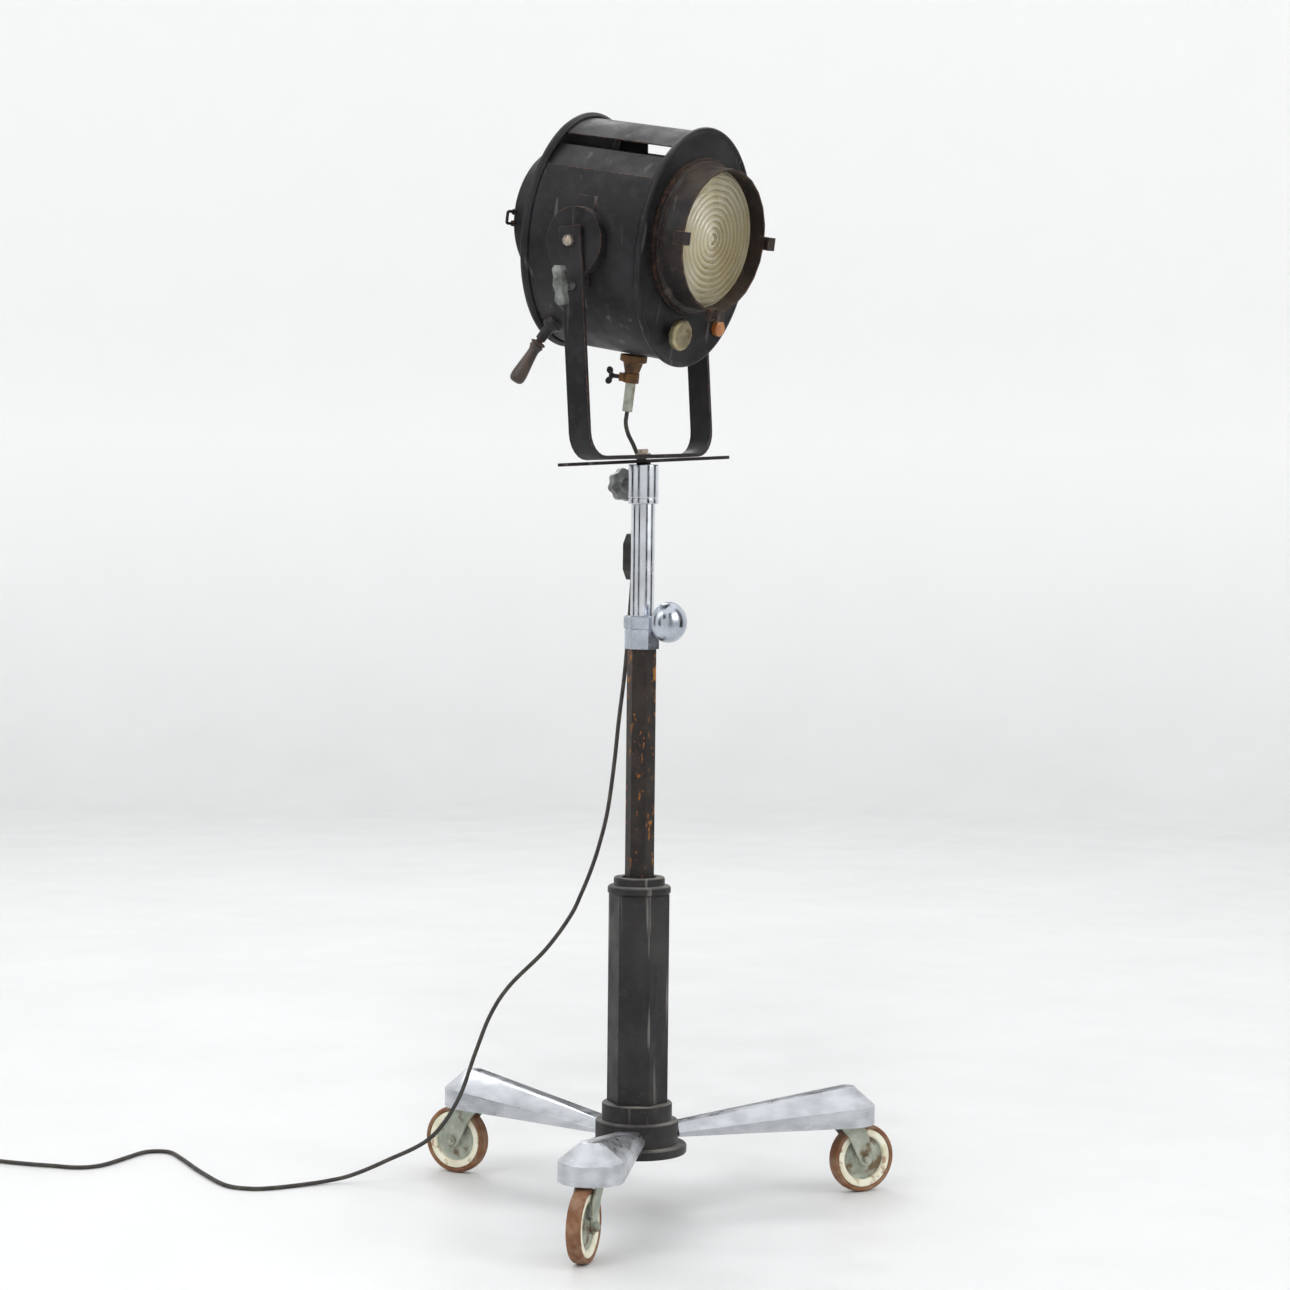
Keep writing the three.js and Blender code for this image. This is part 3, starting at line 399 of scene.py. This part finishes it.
BLACK, SCUFF = srgb(25, 24, 26), srgb(50, 49, 51)
DUST, BARE = srgb(104, 102, 100), srgb(146, 98, 64)
LOOKS = {
    "paint": painted("lamp_paint", BLACK, SCUFF, DUST, BARE),
    "column_paint": painted(
        "column_paint", srgb(38, 36, 36), srgb(58, 56, 55), srgb(150, 147, 140),
        srgb(112, 84, 60), grain=520, grain_strength=0.45,
    ),
    "flaked_paint": flaked(),
    "chrome": plated("old_chrome", srgb(214, 218, 224), srgb(150, 150, 148), 0.1),
    "worn_chrome": plated("worn_chrome", srgb(190, 196, 206), srgb(96, 100, 108), 0.16),
    "knob_cast": stained(
        "knob_cast", srgb(104, 106, 102), srgb(158, 162, 158), srgb(58, 54, 48), 0.4, 0.7
    ),
    "bolt": stained("bolt", srgb(150, 138, 126), srgb(206, 190, 176), srgb(84, 66, 52), 0.35, 0.8),
    "cast": plated(
        "cast_aluminium", srgb(204, 207, 211), srgb(120, 124, 129), 0.24, pits=False, waves=0.04,
        streak=(1, 1, 2.5),
    ),
    "zinc": stained("worn_zinc", srgb(150, 156, 142), srgb(186, 190, 176), srgb(104, 76, 44)),
    "brass": stained("old_brass", srgb(84, 64, 42), srgb(118, 82, 44), srgb(46, 36, 28), 0.5, 0.5),
    "nickel": stained(
        "old_nickel", srgb(140, 130, 104), srgb(176, 164, 130), srgb(98, 72, 38), 0.38, 0.9
    ),
    "amber": moulded("amber_cap", srgb(158, 92, 38), srgb(190, 134, 76), 0.3, Coat_Weight=0.4),
    "lens": lens_glass(),
    "bulb": bulb_glass(),
    "mirror": plated("lamp_mirror", srgb(230, 232, 234), srgb(190, 188, 180), 0.06, pits=False),
    "wood": turned_wood(),
    "tyre": rubber_tyre(),
    "wheel": cream_wheel(),
    "plastic": moulded("black_plastic", srgb(26, 25, 25), srgb(58, 56, 54)),
    "rocker": moulded("red_plastic", srgb(120, 24, 18), srgb(160, 60, 48)),
    "cord": moulded("cord_sheath", srgb(52, 49, 45), srgb(78, 74, 66), 0.6, grain=2500),
}
SNOUT_PAINT = painted(
    "snout_paint", srgb(33, 30, 30), srgb(66, 54, 48), srgb(104, 92, 82), srgb(150, 96, 62)
)
SLOT_OF = {s["node"]: s["material_slot"] for s in frame["record"]["subparts"]}

# ---------------------------------------------------------------- mesh building


def finished(name, mesh, replaced, material=None, body=None, slot=None, smooth=35):
    """A piece made of a mesh in the row frame, standing for CAD nodes and riding with the first."""
    made = bpy.data.objects.new(name, mesh)
    bpy.context.scene.collection.objects.link(made)
    slot = slot or SLOT_OF[replaced[0]]
    mesh.materials.clear()
    mesh.materials.append(material or LOOKS[slot])
    mesh.shade_smooth()
    mesh.set_sharp_from_angle(angle=math.radians(smooth))
    if replaced:
        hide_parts(*replaced)
    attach(made, body or BODY_OF[replaced[0]])
    return made


def mesh_of(name, bm):
    """The mesh that was being built, with its faces turned outwards."""
    bmesh.ops.recalc_face_normals(bm, faces=bm.faces)
    mesh = bpy.data.meshes.new(name)
    bm.to_mesh(mesh)
    bm.free()
    return mesh


def rounded(profile, radius=0.6, steps=3):
    """The profile with its corners rounded off by small curves, except at its ends."""
    points = [Vector(p) for p in profile]
    out = []
    for i, p in enumerate(points):
        if i in (0, len(points) - 1):
            out.append(p)
            continue
        a, b = points[i - 1] - p, points[i + 1] - p
        reach = min(radius, a.length * 0.4, b.length * 0.4)
        if reach < 1e-6 or a.angle(b) > math.radians(168):
            out.append(p)
            continue
        start, end = p + a.normalized() * reach, p + b.normalized() * reach
        for k in range(steps + 1):
            t = k / steps
            out.append(start * (1 - t) ** 2 + p * 2 * t * (1 - t) + end * t * t)
    return out


def lathe(bm, profile, place, sides=64, radius=0.6):
    """Turns a profile of (radius, height) about the place's Z axis."""
    points = rounded(profile, radius) if radius else [Vector(p) for p in profile]
    rings = []
    for r, h in points:
        if abs(r) < 1e-6:
            rings.append([bm.verts.new(place @ Vector((0, 0, h)))])
        else:
            rings.append([
                bm.verts.new(place @ Vector((
                    r * math.cos(2 * math.pi * i / sides), r * math.sin(2 * math.pi * i / sides), h
                )))
                for i in range(sides)
            ])
    pairs = list(zip(rings, rings[1:]))
    if (points[0] - points[-1]).length < 1e-6 and len(rings[0]) > 1:
        bmesh.ops.delete(bm, geom=rings[-1], context="VERTS")
        pairs[-1] = (rings[-2], rings[0])
    for a, b in pairs:
        for i in range(sides):
            j = (i + 1) % sides
            if len(a) == 1 and len(b) == 1:
                continue
            if len(a) == 1:
                bm.faces.new((a[0], b[i], b[j]))
            elif len(b) == 1:
                bm.faces.new((a[i], b[0], a[j]))
            else:
                bm.faces.new((a[i], b[i], b[j], a[j]))


def along(axis):
    """A turn that brings Z onto an axis."""
    return Vector((0, 0, 1)).rotation_difference(Vector(axis)).to_matrix().to_4x4()


def lathed(name, replaced, profile, place, sides=64, radius=0.6, **options):
    """A piece turned from a profile."""
    bm = bmesh.new()
    lathe(bm, profile, place, sides, radius)
    return finished(name, mesh_of(name, bm), replaced, **options)


def refined(node, bevel=0.5, material=None):
    """A CAD shape whose flats are cleaned, whose edges are rounded and whose curves are smooth."""
    bm = bmesh.new()
    bm.from_mesh(NODES[node].data)
    bmesh.ops.remove_doubles(bm, verts=bm.verts, dist=1e-6)
    bmesh.ops.dissolve_limit(
        bm, angle_limit=math.radians(0.6), verts=bm.verts, edges=bm.edges
    )
    made = finished(node + "_piece", mesh_of(node, bm), [node], material)
    if bevel:
        rounding = made.modifiers.new("edges", "BEVEL")
        rounding.width = bevel / 1000
        rounding.segments = 2 if bevel < 2 else 4
        rounding.limit_method = "ANGLE"
        rounding.angle_limit = math.radians(40)
    return made


# ---------------------------------------------------------------- cords


def smooth_path(points, per_span=8):
    """Catmull-Rom through the points, in metres."""
    points = [Vector(p) for p in points]
    padded = [points[0] * 2 - points[1], *points, points[-1] * 2 - points[-2]]
    out = []
    for a, b, c, d in zip(padded, padded[1:], padded[2:], padded[3:]):
        for k in range(per_span):
            t = k / per_span
            out.append(0.5 * (2 * b + (c - a) * t + (2 * a - 5 * b + 4 * c - d) * t * t
                              + (3 * b - a - 3 * c + d) * t ** 3))
    return [*out, points[-1]]


def tube(bm, path, radius, sides=12):
    """A tube with round caps along a path, without twist; radius may be a function of 0..1."""
    size = radius if callable(radius) else lambda t: radius
    before, frame_x = None, None
    rings = []
    for i, p in enumerate(path):
        ahead = (path[min(i + 1, len(path) - 1)] - path[max(i - 1, 0)]).normalized()
        if frame_x is None:
            frame_x = ahead.orthogonal().normalized()
        else:
            frame_x = (before.rotation_difference(ahead) @ frame_x).normalized()
        before = ahead
        side = ahead.cross(frame_x).normalized()
        r = size(i / (len(path) - 1))
        rings.append([
            bm.verts.new(p + (frame_x * math.cos(a) + side * math.sin(a)) * r)
            for a in (2 * math.pi * k / sides for k in range(sides))
        ])
    for a, b in zip(rings, rings[1:]):
        for i in range(sides):
            j = (i + 1) % sides
            bm.faces.new((a[i], a[j], b[j], b[i]))
    bm.faces.new(reversed(rings[0]))
    bm.faces.new(rings[-1])


CORD = 0.006  # diameter, in metres
FLOOR_Z, UPPER_TURN_Z, PLUG_Z = 3.2, 9.35, 11  # the cord's middle on the floor and on its own turns
HEAD_CORD = [(-0.7, 28, 1119.6), (0, 30.4, 1104), (5, 29.5, 1089), (14, 26.5, 1074), (20, 23.2, 1060)]
NECK_CORD = [
    (20.4, 23, 1059.2), (24.3, 22.3, 1044), (26, 24, 1020), (25, 28, 985), (22.9, 31.6, 949.3)
]
MAIN_CORD = [
    (22.9, 31.6, 883.7), (20, 34, 830), (16, 38, 755), (17, 48, 685), (20, 57, 623), (24, 70, 555),
    (25, 84, 506), (25, 98, 468), (23, 113, 433), (20, 130, 399), (9, 165, 349), (-12, 212, 296),
    (-23, 238, 252), (-29, 260, 195), (-38, 284, 125), (-53, 322, 68), (-84, 379, 33),
    (-110, 420, 12), (-134, 444, 5), (-166, 461, 3.3), (-212, 484, 3.2), (-235, 509, 3.2),
    (-236, 553, 3.2), (-188, 639, 3.2), (-142, 709, 3.2), (-122, 740, 3.2), (-110.5, 759, 3.2),
    (-106, 774, 3.2), (-110.4, 788.7, 3.2), (-122, 798.7, 3.2), (-137, 801, 3.2),
    (-158, 798.5, 3.2), (-190, 793.5, 3.2), (-222, 789.5, 3.2), (-243, 790.5, 3.2),
    (-261, 799, 3.2), (-273, 816, 3.2), (-280, 843, 3.2), (-291, 880, 3.2), (-300, 922, 3.2),
    (-303.2, 950, 3.2), (-304, 968, 3.2), (-304.1, 980, 3.2),
]
COIL_CENTRE = Vector((-340, 990, 0))
COIL_WIDE, COIL_NARROW = 36, 30  # radii of the turns
NARROWING, CLIMB, WIDENING = (255, 350), (590, 665), (910, 1005)  # in degrees of winding
COIL_END, PLUG_TAIL = 1112, 30  # degrees of winding, and the straight cord before the plug


def ease(value, low, high, a, b):
    """Goes smoothly from a to b while the value goes from low to high."""
    t = min(max((value - low) / (high - low), 0), 1)
    return a + (b - a) * t * t * (3 - 2 * t)


def coil_path():
    """The coil's turns, the last of them on top of the first, and the straight end to the plug."""
    points = []
    for angle in range(0, COIL_END + 1, 12):
        r = ease(angle, *NARROWING, COIL_WIDE, COIL_NARROW)
        r += ease(angle, *WIDENING, 0, COIL_WIDE - COIL_NARROW)
        height = ease(angle, *CLIMB, FLOOR_Z, UPPER_TURN_Z)
        points.append(COIL_CENTRE + polar(r, angle, height))
    last = COIL_CENTRE + polar(COIL_WIDE, COIL_END)
    out = polar(1, COIL_END + 90)
    for reach in (6, 12, 18, 24, PLUG_TAIL):
        height = ease(reach, 0, PLUG_TAIL, UPPER_TURN_Z, PLUG_Z)
        points.append(last + out * reach + Vector((0, 0, height)))
    return points


def in_row(points):
    return [STAND @ Vector(p) for p in points]


def cord_piece(name, replaced, path, exit_body, far_body, start, end, far_end, **declared):
    """A length of cord, a tube along the path that takes the place of the CAD's cord nodes."""
    bm = bmesh.new()
    tube(bm, path, CORD / 2)
    mesh = mesh_of(name, bm)
    mesh.materials.append(LOOKS["cord"])
    mesh.shade_smooth()
    made = bpy.data.objects.new(name, mesh)
    bpy.context.scene.collection.objects.link(made)
    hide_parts(*replaced)
    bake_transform(made)


def make_plug_relief():
    """The tapered sleeve that keeps the cord from kinking where it enters the plug."""
    entry = COIL_CENTRE + polar(COIL_WIDE, COIL_END) + polar(PLUG_TAIL, COIL_END + 90)
    rise = 0.045  # per millimetre away from the plug
    place = STAND @ move(entry.x, entry.y, 10.9) @ along(polar(-1, COIL_END + 90, rise))
    profile = [(3.1, -2), (6, -2), (6, 1), (5.2, 3)]
    for k in range(5):
        rib, groove, start = 4.9 - 0.25 * k, 4.1 - 0.15 * k, 4 + 4 * k
        profile += [(rib, start), (rib, start + 2.4), (groove, start + 2.8), (groove, start + 3.6)]
    profile += [(3.1, 24), (3.1, -2)]
    return lathed("plug_relief", [], profile, place, 32, 0.2, body="base", slot="plastic")


def make_cords(switch, rocker, plug):
    head = smooth_path(in_row(HEAD_CORD))
    neck = smooth_path(in_row(NECK_CORD))
    main = smooth_path(in_row(MAIN_CORD + [tuple(p) for p in coil_path()]))
    cord_piece(
        "cord_head_run", ["cord_head"], head, "head", "yoke", head[0], head[-1], "object",
        stiffness="medium", lay="hanging",
    )
    cord_piece(
        "cord_neck_run", ["cord_neck"], neck, "yoke", "mast", neck[0], neck[-1], "object",
        stiffness="medium", lay="hanging", with_pieces=[switch, rocker],
    )
    cord_piece(
        "cord_main_run", ["cord_main", "cord_coil"], main, "mast", "base",
        main[0], main[0] - Vector((0, 0, 0.75)), "plug",
        stiffness="medium", lay="loose", with_pieces=[plug, make_plug_relief()],
    )


# ---------------------------------------------------------------- base and castors


def make_base():
    lathed(
        "hub_piece", ["hub"],
        [(0, 78), (68.5, 78), (70.5, 80), (70.5, 89.5), (68.5, 91.5), (58.5, 91.5), (58.5, 123),
         (56.5, 125), (49.5, 125), (49.5, 148), (48, 149.5), (0, 149.5)],
        STAND, 96, 1.2,
    )
    for name, _, _ in LEGS:
        refined(f"leg_{name}", 8)
    refined("base_column", 1.2)
    refined("hex_tube", 0.7)
    lathed(
        "column_cap_piece", ["column_cap"],
        [(24.3, 444.8), (43, 444.8), (44.5, 446.5), (44.5, 453.5), (42.5, 456), (36, 456.5),
         (36, 466), (34.5, 468), (24.3, 468), (24.3, 444.8)],
        STAND, 96, 1.0,
    )


def make_castor(name, leg_turn, trail):
    castor = STAND @ move(*polar(KINGPIN_REACH, leg_turn)) @ turn(trail, "Z")
    axle = castor @ move(CASTOR_TRAIL, 0, WHEEL_RADIUS) @ turn(-90, "X")
    refined(f"castor_fork_{name}", 0.6)
    refined(f"axle_bolt_{name}", 0.5)
    lathed(
        f"tyre_{name}_piece", [f"tyre_{name}"],
        [(42.3, -8.6), (43.5, -9.4), (45, -10.2), (47, -10), (48.6, -8.2), (49.3, -5), (49.5, 0),
         (49.3, 5), (48.6, 8.2), (47, 10), (45, 10.2), (43.5, 9.4), (42.3, 8.6), (42.3, -8.6)],
        axle, 96, 0.5,
    )
    wheel = lathed(
        f"wheel_centre_{name}_piece", [f"wheel_centre_{name}"],
        [(4.4, -12), (9.5, -12), (10.5, -11), (11, -8), (14, -5.5), (26, -4), (31, -5), (33, -8.6),
         (41.7, -9), (41.7, 9), (33, 8.6), (31, 5), (26, 4), (14, 5.5), (11, 8), (10.5, 11),
         (9.5, 12), (4.4, 12), (4.4, -12)],
        axle, 96, 0.8,
    )
    wheel.data.materials.append(LOOKS["zinc"])
    centre, zinc_radius = axle.translation, 0.0325
    for face in wheel.data.polygons:
        if (face.center - centre).length < zinc_radius:
            face.material_index = 1


# ---------------------------------------------------------------- mast, clamp and knobs


def make_mast():
    refined("clamp_collar", 0.8, LOOKS["worn_chrome"])
    lathed(
        "mast_tube_piece", ["mast_tube"],
        [(14, 354), (16.5, 354), (16.5, 1044), (14, 1044), (14, 354)], STAND, 64, 0.4,
    )
    lathed(
        "top_collar_piece", ["top_collar"],
        [(16.9, 991), (20, 991), (21, 992), (21, 998), (20.4, 998.6), (20.4, 1000), (21, 1000.6),
         (21, 1045), (20.2, 1046), (16.9, 1046), (16.9, 991)],
        STAND, 64, 0.4,
    )
    knob = STAND @ move(*polar(KNOB_SEAT, KNOB_TURN, KNOB_Z)) @ along(polar(1, KNOB_TURN))
    dome = [(0, 0), (5, 0), (5, 12.8), (9, 12.8)]
    for k in range(15):
        a = math.radians(-60 + 150 * k / 14)
        dome.append((28.5 * math.cos(a) if k < 14 else 0, 34.8 + 22 * math.sin(a)))
    lathed(
        "height_knob_piece", ["height_knob"], dome, knob, 96, 0.5, material=LOOKS["worn_chrome"]
    )
    refined("star_knob", 1.6, LOOKS["knob_cast"])


def make_cord_fittings():
    return refined("switch_body", 1.2), refined("switch_rocker", 0.4), refined("plug", 1.5)


def make_yoke():
    for node, bevel, look in (
        ("cross_bar", 0.8, "paint"), ("yoke", 0.9, "paint"), ("yoke_bolt", 0.5, "bolt"),
        ("brake_shoe", 0.4, "paint"), ("tilt_handle", 3.2, "knob_cast"),
    ):
        refined(node, bevel, LOOKS[look])


# ---------------------------------------------------------------- lamp house


def sheet(bm, radius, thick, start, end, low, high, steps, place):
    """A bent sheet between two directions, as a closed strip."""
    rows = []
    for i in range(steps + 1):
        a = start + (end - start) * i / steps
        rows.append([
            bm.verts.new(place @ Vector((polar(r, a).x, y, polar(r, a).y)))
            for r, y in ((radius, low), (radius, high), (radius - thick, high), (radius - thick, low))
        ])
    for a, b in zip(rows, rows[1:]):
        for i in range(4):
            j = (i + 1) % 4
            bm.faces.new((a[i], a[j], b[j], b[i]))
    bm.faces.new(reversed(rows[0]))
    bm.faces.new(rows[-1])


def cut_with(made, cutters, smooth):
    """Cuts holes with lathed solids and shades what is left."""
    for profile, place in cutters:
        bm = bmesh.new()
        lathe(bm, profile, place, 48, 0)
        tool = bpy.data.objects.new("tool", mesh_of("tool", bm))
        bpy.context.scene.collection.objects.link(tool)
        cutting = made.modifiers.new("cut", "BOOLEAN")
        cutting.operation = "DIFFERENCE"
        cutting.solver = "EXACT"
        cutting.object = tool
        bpy.context.view_layer.update()
        graph = bpy.context.evaluated_depsgraph_get()
        mesh = bpy.data.meshes.new_from_object(made.evaluated_get(graph))
        made.modifiers.remove(cutting)
        made.data = mesh
        bpy.data.objects.remove(tool)
    made.data.shade_smooth()
    made.data.set_sharp_from_angle(angle=math.radians(smooth))


def hole(radius, low, high):
    """The profile of a round cutter."""
    return [(0, low), (radius, low), (radius, high), (0, high)]


def make_house():
    oval = HOUSE @ OVAL
    bm = bmesh.new()
    sheet(bm, DRUM_RADIUS, DRUM_WALL, *DRUM_EDGES, -DRUM_FRONT, DRUM_REAR, 120, oval)
    shell = finished("drum_shell_piece", mesh_of("drum_shell", bm), ["drum_shell"])
    cut_with(shell, [
        (hole(5.6, -250, 250), HOUSE @ move(0, 0, -DRUM_RISE) @ turn(90, "Y")),
        (hole(8, -200, -100), HOUSE @ move(0, GLAND_Y, 0)),
    ], 35)
    refined("vent_cover", 0.4)
    refined("vent_roof", 0.4)

    lip = 159.2
    plate = [(0, 0.4), (lip, 0.4), (lip, -6), (lip + 1.6, -6), (165, -1), (165.2, 1.5), (164.4, 4),
             (162, 5.5), (159.5, 4.6), (157, 2.5), (0, 2.5)]
    for name, start, axis, opening in (
        ("front_plate", DRUM_FRONT, (0, -1, 0), 90),
        ("rear_plate", DRUM_REAR, (0, 1, 0), 92),
    ):
        made = lathed(
            name + "_piece", [name], [(r, start + h) for r, h in plate], oval @ along(axis), 128, 0.8
        )
        cutters = [(hole(opening, 50, 200), HOUSE @ move(0, 0, SNOUT_Z) @ along(axis))]
        if name == "front_plate":
            cutters.append((hole(7.3, 50, 200), HOUSE @ move(-31, 0, -118) @ along(axis)))
        cut_with(made, cutters, 30)


def make_snout():
    """The snout and its stepped lens, whose rings each rise to a rounded crest."""
    refined("snout", 0.6, SNOUT_PAINT)
    rings, radius, back, base, top = 11, 94.2, 119, 126.5, 134
    step, riser, fullness = radius / rings, 0.14, 0.95
    profile = [(0, back), (radius, back), (radius, base)]
    for i in range(rings, 0, -1):
        outer, inner = i * step, (i - 1) * step
        for k in range(5):
            t = k / 4
            r = outer + (inner - outer) * (riser + (1 - riser) * t)
            h = base + (top - base) * math.sin(t * math.pi / 2) * fullness
            profile.append((max(r, 0), h))
        if inner > 0:
            profile.append((inner + 0.01, base + 0.3))
    lathed(
        "lens_piece", ["lens"], profile, HOUSE @ move(0, 0, SNOUT_Z) @ along((0, -1, 0)), 128, 0,
        smooth=50,
    )


def make_latch(y):
    """A bent wire loop on two feet, standing off the door's side."""
    z, wire_radius = SNOUT_Z - 8, 0.0021
    half = [(-97, 8), (-108, 8.4), (-112.4, 7.4), (-113, 4)]
    corners = half + [(x, -h) for x, h in reversed(half)]
    path = smooth_path([HOUSE @ Vector((x, y, z + h)) for x, h in corners], 6)
    bm = bmesh.new()
    tube(bm, path, wire_radius)
    for x, h in (corners[0], corners[-1]):
        foot = HOUSE @ move(x - 3.5, y, z + h) @ turn(90, "Y")
        lathe(bm, [(0, 0), (4.2, 0), (4.2, 2.6), (0, 2.6)], foot, 24, 0.5)
    finished("door_latch_piece", mesh_of("door_latch", bm), ["door_latch"])


def make_wing_screw():
    """A screw whose head is a flat web with two rounded ears."""
    below_gland = 33.25
    place = HOUSE @ move(0, GLAND_Y, 0) @ turn(122, "Z") @ move(0, 0, GLAND_Z - below_gland)
    bm = bmesh.new()
    lathe(bm, [(0, 7.9), (3, 7.9), (3, 25), (4.6, 26), (4.6, 30), (3.4, 31.5), (0, 31.5)],
          place @ turn(90, "Y"), 32, 0.4)
    for side in (-1, 1):
        ear = place @ move(31, 0, 7.2 * side) @ turn(20 * side, "Y")
        bmesh.ops.create_uvsphere(
            bm, u_segments=24, v_segments=16, radius=1,
            matrix=ear @ Matrix.Diagonal((4.6, 1.7, 5.4, 1)),
        )
    finished("wing_screw_piece", mesh_of("wing_screw", bm), ["wing_screw"])


def make_fittings():
    for node, bevel in (
        ("pivot_plate_near", 0.5), ("pivot_plate_far", 0.5), ("pivot_bolt_near", 0.5),
        ("pivot_bolt_far", 0.5), ("handle_bracket", 0.8), ("cord_gland", 0.5), ("cord_tube", 0.4),
        ("cord_clamp", 0.5), ("guide_cap", 0.6), ("focus_knob", 0.5), ("lamp_carriage", 0.5),
        ("reflector", 0.2),
    ):
        refined(node, bevel, LOOKS["bolt"] if node.startswith("pivot_bolt") else None)
    make_wing_screw()


def make_door():
    """The domed rear door, a lathed shape about the lens's axis, and its latch."""
    door_start = 95.8
    lathed(
        "rear_door_piece", ["rear_door"],
        [(r, door_start + h) for r, h in (
            (0, 57.5), (50, 56.6), (76, 53), (91, 44), (95, 0), (106, 0), (106, 3), (98, 5),
            (96, 20), (94, 46), (88, 51.5), (80, 55), (66, 57.5), (50, 59), (25, 59.8), (0, 60),
        )],
        HOUSE @ move(0, 0, SNOUT_Z) @ along((0, 1, 0)), 128, 1.0,
    )
    make_latch(door_start + 43)


def make_grip():
    """The turned handle, which carries on from its bracket's bent neck under the drum."""
    neck = Vector((-0.45, 0.3, -0.84)).normalized()
    grip = Vector((-0.36, 0.24, -0.9)).normalized()
    foot, foot_y = polar(154, 235), 68
    neck_length, past_bend = 30, 6
    bend = Vector((foot.x * SQUASH, foot_y, foot.y)) + neck * neck_length
    lathed(
        "handle_grip_piece", ["handle_grip"],
        [(0, 0), (7.6, 0), (10.6, 1.6), (11, 2.6), (10.4, 4), (8.2, 5), (9.6, 6.6), (10, 8.2),
         (8.4, 11), (7.5, 14), (7.6, 20), (8.6, 30), (9.8, 41), (10.8, 50), (11, 55), (10.6, 60),
         (8.6, 64), (5, 65.6), (0, 66)],
        HOUSE @ move(*(bend + grip * past_bend)) @ along(grip), 48, 0.8,
    )


def make_bulb():
    lathed(
        "bulb_piece", ["bulb"],
        [(0, 0), (13, 0), (13, 12), (16, 20), (23, 30), (30, 40), (32.6, 50), (32.8, 58), (30, 70),
         (25, 79), (18, 85.5), (9, 89), (0, 90)],
        HOUSE @ move(0, 20, -39.6), 48, 1.0,
    )


# ---------------------------------------------------------------- the studio


def make_flags():
    """Black screens that only reflections see, as in a studio, for the contrast in bright metal."""
    black = Look("screen", (0.015, 0.015, 0.017), 0.9).material
    for number, (direction, distance, width, low, high) in enumerate((
        (178, 2.6, 0.7, 0.0, 3.4), (252, 2.6, 0.8, 0.0, 3.4), (214, 3.4, 1.0, 2.0, 4.2),
        (120, 2.4, 0.9, 0.2, 3.4), (310, 2.4, 0.9, 0.2, 3.4), (30, 3.6, 1.2, 0.6, 3.2),
    )):
        centre, side = polar(distance, direction), polar(width / 2, direction + 90)
        corners = [centre - side, centre + side, centre + side, centre - side]
        mesh = bpy.data.meshes.new(f"screen_{number}")
        points = [c + Vector((0, 0, z)) for c, z in zip(corners, (low, low, high, high))]
        mesh.from_pydata(points, [], [(0, 1, 2, 3)])
        mesh.materials.append(black)
        screen = bpy.data.objects.new(f"screen_{number}", mesh)
        bpy.context.scene.collection.objects.link(screen)
        screen.visible_camera = False
        screen.visible_diffuse = False
        screen.visible_shadow = False
        screen.visible_transmission = False


def make_backdrop():
    """A round floor that curves up into a wall."""
    floor_radius, sweep, wall_top, steps = 5.6, 1.6, 6.5, 16
    profile = [(0, 0), (2, 0), (4, 0), (floor_radius, 0)]
    for k in range(1, steps + 1):
        a = math.pi / 2 * k / steps
        profile.append((floor_radius + sweep * math.sin(a), sweep - sweep * math.cos(a)))
    profile.append((floor_radius + sweep, wall_top))
    bm = bmesh.new()
    lathe(bm, profile, Matrix.Identity(4), 128, 0)
    mesh = mesh_of("studio", bm)
    mesh.materials.append(studio_floor())
    mesh.shade_smooth()
    floor = bpy.data.objects.new("studio", mesh)
    bpy.context.scene.collection.objects.link(floor)


def make_studio():
    make_backdrop()
    bpy.context.scene.view_settings.view_transform = "Standard"
    world = bpy.data.worlds.new("world")
    bpy.context.scene.world = world
    world.use_nodes = True
    background = next(n for n in world.node_tree.nodes if n.type == "BACKGROUND")
    background.inputs["Color"].default_value = (0.975, 0.985, 1.0, 1)
    background.inputs["Strength"].default_value = 1.22
    make_flags()
    make_light("key", (-3.4, 0.6, 3.6), (0, 0, 0.9), (1.8, 1.8), 50)
    make_light("fill", (0.6, -4.2, 2.6), (0, 0, 0.9), (2.4, 2.0), 42)
    make_light("rim", (2.6, 2.6, 3.4), (0, 0, 1.1), (1.6, 1.6), 34)


make_camera()
make_base()
for leg in LEGS:
    make_castor(*leg)
make_mast()
cord_fittings = make_cord_fittings()
make_yoke()
make_house()
make_snout()
make_fittings()
make_door()
make_grip()
make_bulb()
make_cords(*cord_fittings)
make_studio()
